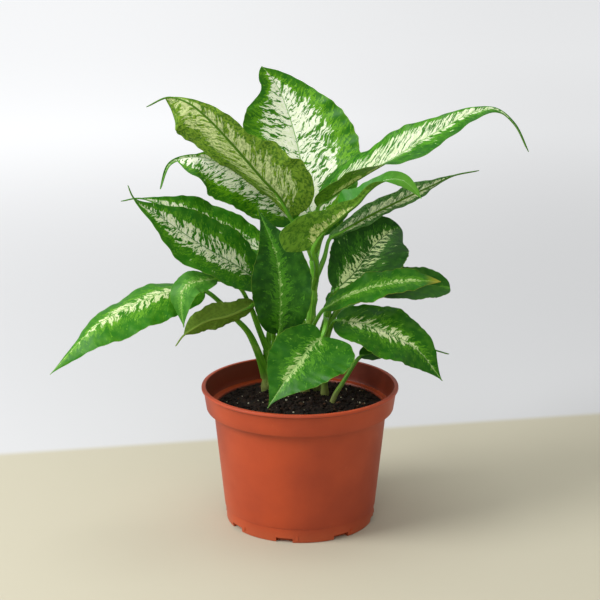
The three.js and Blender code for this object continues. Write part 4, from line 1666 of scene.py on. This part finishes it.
LEAVES = [
    Leaf(
        "leaf_top",
        [(11, 30, 236), (11, 43, 237), (12, 56, 238)],
        [(12, 56, 238), (5, 66, 269), (-3, 84, 309), (-16, 98, 347), (-24, 101, 361), (-33, 101, 371)],
        [(-0.1, -0.8, 0.6), (0, -0.9, 0.45), (0.2, -0.9, 0.3)],
        Half(48, 0.5, 0.62, (8, 8), (10, 10), 0.7, ((0.9, 0.07, 0.4),)),
        Half(54, 0.4, 1.2, (8, 8), (20, 20), 1.2),
        WHITE_HEART,
        seed=1,
    ),
    Leaf(
        "leaf_upper_left",
        [(12, 28, 214), (3, 18, 238), (-8, 10, 257)],
        [(-8, 10, 257), (-16, 4, 274), (-30, -2, 291), (-55, -12, 322), (-73, -16, 342), (-88, -16, 354),
         (-104, -12, 358), (-122, -8, 350)],
        [(0.3, 0.9, 0.4), (0.1, 0.9, 0.3), (-0.2, 0.9, 0.1)],
        Half(33, 0.2, 1.5, (20, 30), (10, 10), 1.6, ((0.47, 0.11, 0.36), (0.29, 0.05, 0.1))),
        Half(32, 0.62, 0.22, (35, 5), (10, 10)),
        LeafFinish(
            reach=0.5,
            slant=0.9,
            under=tint("86ab34"),
            under_dark=tint("4f7c1e"),
            under_pale=tint("d4dfa4"),
        ),
        drip=0.11,
        seed=2,
    ),
    Leaf(
        "leaf_left_arching",
        [(11, 29, 222), (3, 35, 240), (-7, 37, 248)],
        [(-7, 37, 248), (-25, 34, 271), (-49, 28, 290), (-76, 20, 304), (-92, 14, 306), (-106, 10, 301),
         (-114, 7, 281)],
        [(0.25, -0.75, 0.6), (0.25, -0.75, 0.6), (-0.4, -0.5, 0.75)],
        Half(36, 0.55, 0.35, (5, 5), (5, 5)),
        Half(24, 0.3, 2, (40, 40), (10, 10)),
        replace(WHITE_HEART, reach=0.5, slant=0.8),
        drip=0.2,
        tail=4,
        seed=3,
    ),
    Leaf(
        "leaf_left_broad",
        [(-27, 30, 146), (-25, 22, 172), (-31, 9, 202)],
        [(-31, 9, 202), (-53, -3, 220), (-84, -18, 243), (-113, -26, 266), (-131, -30, 280),
         (-136, -30, 291)],
        [(0.3, -0.6, 0.7), (0.2, -0.6, 0.75)],
        Half(35, 0.5, 1.35, (10, 10), (10, 10)),
        Half(26, 0.4, 1.35, (20, 20), (10, 10)),
        replace(PALE_HEART, solid=0.35, start=(0.0, 0.3)),
        drip=0.06,
        seed=4,
    ),
    Leaf(
        "leaf_left_rear",
        [(9, 24, 176), (-4, 34, 204), (-21, 38, 219)],
        [(-21, 38, 219), (-59, 38, 235), (-100, 34, 257), (-133, 30, 269), (-149, 28, 267)],
        [(0.2, -0.5, 0.85)],
        Half(22, 0.42, 1.35, (15, 15), (10, 10)),
        Half(21, 0.42, 1.35, (20, 20), (10, 10)),
        PALE_HEART,
        drip=0.1,
        seed=5,
    ),
    Leaf(
        "leaf_lower_left",
        [(-30, 33, 113), (-35, 27, 133), (-44, 18, 157), (-53, 10, 170), (-65, 2, 186), (-79, -4, 199)],
        [(-79, -4, 199), (-110, -16, 200), (-131, -24, 194), (-164, -38, 178), (-176, -42, 167),
         (-201, -48, 140)],
        [(0, -0.6, 0.8), (-0.2, -0.6, 0.8)],
        Half(26, 0.4, 1.2, (-5, -5), (-10, -10)),
        Half(30, 0.3, 1.6, (-28, -28), (-10, -10)),
        replace(THIN_HEART, deep=tint("2f7a10"), fresh=tint("6bab26"), end=(0.48, 0.74)),
        stalk_radius=(4.2, 1.9),
        seed=6,
    ),
    Leaf(
        "leaf_small_bent",
        [(-27, 31, 133), (-35, 22, 158), (-43, 4, 187), (-51, -13, 205), (-67, -27, 214)],
        [(-67, -27, 214), (-77, -33, 215), (-88, -38, 213), (-94, -41, 206), (-95, -43, 196),
         (-93, -43, 178)],
        [(-0.2, -0.7, 0.7), (-0.5, -0.8, 0.3)],
        Half(18, 0.45, 1.35, (15, 15), (10, 10), 0.3),
        Half(13, 0.45, 1.35, (-5, -5), (-10, -10), 0.1),
        replace(
            FAINT_HEART,
            deep=tint("3d7d22"),
            fresh=tint("6aa83c"),
            reach=0.1,
            halo=0.3,
            end=(0.5, 0.8),
        ),
        round_base=0.8,
        ripple_height=0.7,
        seed=7,
    ),
    Leaf(
        "leaf_small_olive",
        [(-27, 32, 121), (-22, 16, 148), (-27, 3, 174), (-38, -4, 187)],
        [(-38, -4, 187), (-59, -15, 180), (-75, -22, 178), (-88, -28, 172), (-95, -30, 167),
         (-101, -32, 159)],
        [(0, 0.95, 0.3)],
        Half(13, 0.5, 0.8, (10, 10), (10, 10)),
        Half(12, 0.5, 0.9, (10, 10), (10, 10)),
        replace(PLAIN, under=tint("71952f"), under_dark=tint("648528"), under_rib=tint("8cab45")),
        drip=0.15,
        seed=8,
    ),
    Leaf(
        "leaf_front_upright",
        [(-28, 33, 103), (-23, 20, 116), (-23, 3, 139), (-20, -10, 155), (-17, -14, 165)],
        [(-17, -14, 165), (-16, -19, 197), (-19, -18, 231), (-26, -15, 250), (-35, -11, 271)],
        [(0, -0.95, 0.3)],
        Half(24, 0.4, 1.8, (12, 12), (10, 10)),
        Half(27, 0.4, 1.8, (12, 5), (10, 2), 0.4),
        DARK_AND_SHADED_FAINT,
        seed=9,
    ),
    Leaf(
        "leaf_front_low",
        [(18, 6, 158), (21, -4, 174), (21, -17, 173), (18, -24, 165)],
        [(18, -24, 165), (8, -36, 159), (-8, -52, 142), (-26, -61, 116)],
        [(0.1, -0.6, 0.8)],
        Half(40, 0.22, 1.7, (8, 8), (10, 10)),
        Half(26, 0.4, 1.5, (12, 12), (10, 10)),
        replace(
            THIN_HEART,
            deep=tint("27690f"),
            fresh=tint("589a22"),
            heart=tint("bcd48c"),
            heart_shade=tint("9cc064"),
            reach=0.08,
            start=(0.02, 0.2),
            end=(0.6, 0.8),
        ),
        lobe=12,
        round_base=0.55,
        seed=10,
    ),
    Leaf(
        "leaf_lower_right",
        [(20, 9, 142), (26, 8, 164), (30, 0, 172)],
        [(30, 0, 172), (54, -8, 171), (74, -14, 165), (97, -20, 152), (117, -24, 127)],
        [(0, -0.6, 0.8)],
        Half(25, 0.45, 1.35, (5, 5), (-10, -10)),
        Half(33, 0.45, 1.35, (12, 12), (10, 10)),
        replace(THIN_HEART, reach=0.17, end=(0.46, 0.7)),
        seed=11,
    ),
    Leaf(
        "leaf_lowest_right",
        [(27, -7, 76), (27, -5, 101), (37, 2, 119), (51, 10, 138)],
        [(51, 10, 138), (72, 14, 141), (106, 16, 143), (126, 16, 138)],
        [(0, -0.4, 0.9)],
        Half(14, 0.45, 1.35, (12, 12), (10, 10)),
        Half(17, 0.55, 1, (12, 12), (10, 10)),
        PLAIN,
        drip=0.14,
        seed=12,
    ),
    Leaf(
        "leaf_right_pointed",
        [(7, 23, 147), (9, 8, 157), (12, -2, 170), (19, -6, 183)],
        [(19, -6, 183), (37, -10, 195), (63, -16, 206), (93, -20, 211), (114, -20, 210)],
        [(0, -0.5, 0.85)],
        Half(15, 0.57, 0.9, (5, 5), (0, 0)),
        Half(18, 0.5, 1, (5, 5), (5, 5)),
        replace(
            FAINT_HEART,
            deep=tint("27690e"),
            fresh=tint("579420"),
            reach=0.1,
            feather=0.8,
            fleck=0.7,
            tip=tint("b9a93a"),
            tip_show=0.7,
            tip_span=(0.86, 1.0),
        ),
        round_base=0.7,
        seed=13,
    ),
    Leaf(
        "leaf_right_broad",
        [(25, 36, 174), (29, 29, 188), (30, 20, 193)],
        [(30, 20, 193), (44, 30, 203), (62, 55, 221), (75, 70, 230), (87, 76, 235)],
        [(-0.1, -0.8, 0.6)],
        Half(31, 0.5, 0.6, (15, 15), (10, 10), 0.3),
        Half(36, 0.5, 0.6, (12, 12), (10, 10), 0.3),
        DARK_AND_SHADED_STREAKS,
        ripple_height=1.3,
        seed=14,
    ),
    Leaf(
        "leaf_right_rear",
        [(22, 35, 156), (41, 37, 180), (59, 30, 190)],
        [(59, 30, 190), (85, 40, 191), (111, 48, 190), (129, 50, 187)],
        [(0, -0.5, 0.85)],
        Half(19, 0.5, 0.42, (12, 12), (10, 10), 0.3),
        Half(26, 0.5, 0.42, (12, 12), (10, 10), 0.2),
        PLAIN,
        ripple_height=0.8,
        seed=15,
    ),
    Leaf(
        "leaf_upper_right_long",
        [(12, 29, 230), (15, 28, 248), (15, 24, 264)],
        [(15, 24, 264), (33, 19, 278), (53, 13, 292), (73, 7, 305), (93, 0, 319), (112, -4, 331),
         (135, -10, 345), (154, -14, 349), (169, -18, 338), (181, -20, 316)],
        [(-0.3, -0.1, 1), (-0.2, -0.3, 0.9), (-0.2, -0.6, 0.8), (0.5, -0.5, 0.8), (0.8, -0.4, 0.4)],
        Half(28, 0.2, 1.6, (20, 15, 10, 10, 10, 30), (10, 0)),
        Half(24, 0.3, 1, (50, 40, 20, 5, 0, 20), (5, 0)),
        replace(
            WHITE_HEART,
            deep=tint("25680f"),
            fresh=tint("549a1c"),
            heart=tint("e6ebd2"),
            heart_shade=tint("b9d08e"),
            reach=0.42,
            lean=0.6,
            slant=1.2,
            solid=0.3,
            under=tint("74a62a"),
            under_dark=tint("4f821e"),
        ),
        drip=0.14,
        tail=4.2,
        seed=16,
    ),
    Leaf(
        "leaf_centre_bent",
        [(11, 26, 192), (14, 9, 207), (13, -9, 223), (10, -22, 237)],
        [(10, -22, 237), (14, -24, 247), (20, -28, 255), (28, -32, 262), (37, -35, 270), (46, -38, 278),
         (53, -40, 287), (61, -41, 294), (71, -42, 298), (80, -42, 297), (88, -43, 291), (95, -44, 283)],
        [(-0.3, 0.9, 0.2), (-0.4, 0.75, 0.5), (-0.3, 0.25, 1), (-0.3, 0, 1), (0.1, -0.7, 0.7),
         (0.3, -0.8, 0.5)],
        Half(18, 0.28, 0.9, (20, 35, 60, 50, 10, 5), (10, 10), 0.5, ((0.68, 0.14, 0.5),)),
        Half(33, 0.12, 1.1, (5, 15, 60, 60, 10, 5), (5, 5), 0.5, ((0.3, 0.12, 0.4), (0.55, 0.25, 0.8))),
        LeafFinish(
            deep=tint("357f1e"),
            fresh=tint("4f9a30"),
            reach=0.34,
            end=(0.32, 0.5),
            under=tint("6f9f2c"),
            under_dark=tint("47791a"),
            tip=tint("74b53c"),
            tip_show=0.8,
        ),
        lobe=12,
        seed=17,
    ),
    Leaf(
        "leaf_right_narrow",
        [(11, 26, 196), (20, 32, 216), (25, 36, 234)],
        [(25, 36, 234), (51, 42, 248), (82, 52, 262), (111, 60, 274), (130, 64, 282), (153, 68, 286)],
        [(-0.3, 0.9, 0.3)],
        Half(10, 0.45, 1.35, (10, 10), (10, 10)),
        Half(10, 0.45, 1.35, (10, 10), (10, 10)),
        LeafFinish(
            reach=0.5,
            slant=1.1,
            under=tint("6b9c54"),
            under_dark=tint("3c7030"),
            under_pale=tint("e2ecc8"),
        ),
        drip=0.12,
        seed=18,
    ),
    Leaf(
        "leaf_rear_top",
        [(12, 28, 213), (15, 45, 221), (18, 62, 230)],
        [(18, 62, 230), (20, 90, 260), (14, 118, 284), (4, 144, 294), (-4, 166, 286)],
        [(-0.1, -0.6, 0.8), (0, -0.2, 1)],
        Half(30, 0.42, 1.3, (15, 15), (10, 10)),
        Half(32, 0.42, 1.3, (15, 15), (10, 10)),
        WHITE_HEART,
        seed=19,
    ),
    Leaf(
        "leaf_rear_left",
        [(7, 23, 152), (-6, 42, 176), (-20, 58, 194)],
        [(-20, 58, 194), (-42, 78, 206), (-66, 98, 210), (-92, 114, 204)],
        [(0.1, 0, 1)],
        Half(26, 0.42, 1.3, (12, 12), (10, 10)),
        Half(27, 0.42, 1.3, (12, 12), (10, 10)),
        PALE_HEART,
        seed=20,
    ),
    Leaf(
        "leaf_rear_low",
        [(5, 21, 118), (0, 40, 140), (-6, 56, 156)],
        [(-6, 56, 156), (-8, 82, 166), (-14, 108, 164), (-22, 132, 148)],
        [(0, 0.2, 1), (0, 0.5, 0.85)],
        Half(25, 0.42, 1.3, (12, 12), (10, 10)),
        Half(25, 0.42, 1.3, (12, 12), (10, 10)),
        THIN_HEART,
        seed=21,
    ),
    Leaf(
        "leaf_rear_right",
        [(17, 32, 124), (24, 50, 146), (32, 62, 162)],
        [(32, 62, 162), (50, 84, 174), (68, 106, 176), (86, 126, 166)],
        [(-0.1, 0, 1)],
        Half(25, 0.42, 1.3, (12, 12), (10, 10)),
        Half(26, 0.42, 1.3, (12, 12), (10, 10)),
        PALE_HEART,
        seed=22,
    ),
]


# ---- the studio ---------------------------------------------------------------------------------


@dataclass(frozen=True)
class Lamp:
    """A soft round lamp: where it hangs and how wide it is, in metres, and its watts."""

    name: str
    at: Point
    width: float
    watts: float

    def hang(self, aim: Point) -> None:
        """Hang the lamp.

        Args:
            aim: The place that it shines at.
        """
        light = bpy.data.lights.new(self.name, "AREA")
        light.shape = "DISK"
        light.size = self.width
        light.energy = self.watts
        hung = bpy.data.objects.new(self.name, light)
        hung.location = self.at
        way = Vector(aim) - Vector(self.at)
        hung.rotation_euler = way.to_track_quat("-Z", "Y").to_euler()
        bpy.context.scene.collection.objects.link(hung)


@dataclass(frozen=True)
class Studio:
    """The pale floor, the soft lights and the camera.

    The floor changes from its near colour to its far one over the edge, a line behind the plant
    with a slope.
    """

    camera_at: Point = (0, -1.199, 0.504)
    camera_pitch: float = 14.7
    lens: float = 90
    floor_reach: float = 15
    near_colour: Colour = tint("b9b4a0")
    near_grain: Colour = tint("aca58b")
    far_colour: Colour = tint("c6c7c9")
    edge: Span = (0.192, 0.21)
    edge_slope: float = -0.2
    glow_colour: Colour = (0.97, 0.98, 1.0)
    sky_colour: Colour = (0.96, 0.96, 0.94)
    sky_strength: float = 0.55
    aim: Point = (0, 0, 0.18)
    lamps: tuple[Lamp, ...] = (
        Lamp("key", (-1.5, -0.55, 1.25), 1.1, 38),
        Lamp("front", (-0.1, -1.7, 1.5), 1.6, 9),
        Lamp("top", (-0.2, 0.4, 1.9), 1.2, 10),
    )

    def paper(self) -> bpy.types.Material:
        """Make the floor's material, with a painted glow further off, weaker to the right by painted
        shade.

        Returns:
            The material.
        """
        paint = Painter("floor_card")
        spot = paint.own_place()
        far = paint.node("ShaderNodeVectorMath", {0: spot}, operation="LENGTH").outputs["Value"]
        across, back, _ = paint.node("ShaderNodeSeparateXYZ", {0: spot}).outputs
        fine = paint.times(paint.grain(spot, 40.0, 3), 0.08)
        near = paint.blend(fine, self.near_colour, self.near_grain)
        edge = paint.ease(paint.times_plus(across, self.edge_slope, back), *self.edge)
        depth = paint.maths("ADD", paint.maths("ABSOLUTE", back), 1.4)
        tilt = paint.maths("DIVIDE", across, depth)
        # Painted light: the far floor glows by emission, more on the left; on the right, painted shade
        # takes it down further off.
        shade = paint.times(paint.ease(tilt, -0.1, 0.22), paint.ease(far, 1.2, 4.5, 0.12, 0))
        painted_glow_wash = paint.minus(paint.ease(tilt, -0.2, 0.2, 0.62, 0.47), shade)
        feeds = {
            "Base Color": paint.blend(edge, near, self.far_colour),
            "Roughness": 0.75,
            "Emission Color": self.glow_colour,
            "Emission Strength": paint.times(paint.ease(far, 0.3, 2.5), painted_glow_wash),
        }
        return paint.finish(feeds)

    def floor(self) -> bpy.types.Object:
        """Lay the floor.

        Returns:
            The floor.
        """
        reach = self.floor_reach / MM
        square = [(-reach, -reach, 0), (reach, -reach, 0), (reach, reach, 0), (-reach, reach, 0)]
        mould = Mould()
        mould.add(np.array(square), [(0, 1, 2, 3)])
        floor = mould.cast("floor", [self.paper()], 30)
        return floor

    def lights(self) -> None:
        """Hang the lamps and light the room."""
        for lamp in self.lamps:
            lamp.hang(self.aim)
        world = bpy.data.worlds.new("room")
        world.use_nodes = True
        sky = world.node_tree.nodes["Background"]
        sky.inputs["Color"].default_value = (*self.sky_colour, 1)
        sky.inputs["Strength"].default_value = self.sky_strength
        bpy.context.scene.world = world

    def camera(self) -> bpy.types.Object:
        """Set up the camera at the photograph's angle.

        Returns:
            The camera.
        """
        eye = bpy.data.cameras.new("camera")
        eye.lens = self.lens
        eye.sensor_width = 36
        eye.clip_start = 0.05
        eye.clip_end = 50
        camera = bpy.data.objects.new("camera", eye)
        camera.location = self.camera_at
        camera.rotation_euler = (math.radians(90 - self.camera_pitch), 0, 0)
        scene = bpy.context.scene
        scene.collection.objects.link(camera)
        scene.camera = camera
        scene.view_settings.view_transform = "Standard"
        return camera


def corners(box: tuple[Vector, Vector]) -> list[list[float]]:
    """Return a box's two corners as plain lists of numbers."""
    return [[round(n, 5) for n in corner] for corner in box]


def main() -> None:
    """Build every sub-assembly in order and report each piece."""
    logging.basicConfig(level=logging.INFO, format="%(name)s: %(message)s")
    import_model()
    studio = Studio()
    studio.camera()
    studio.floor()
    studio.lights()
    pot = Pot()
    pieces = [pot.make(), PottingMix(pot).make()]
    green = StalkFinish().material("stalk_green")
    pieces += [shoot.make(green) for shoot in SHOOTS]
    pieces += [leaf.make(green) for leaf in LEAVES]
    for piece in pieces:
        LOG.info("%s: %d faces", piece.name, len(piece.data.polygons))


if __name__ == "__main__":
    main()
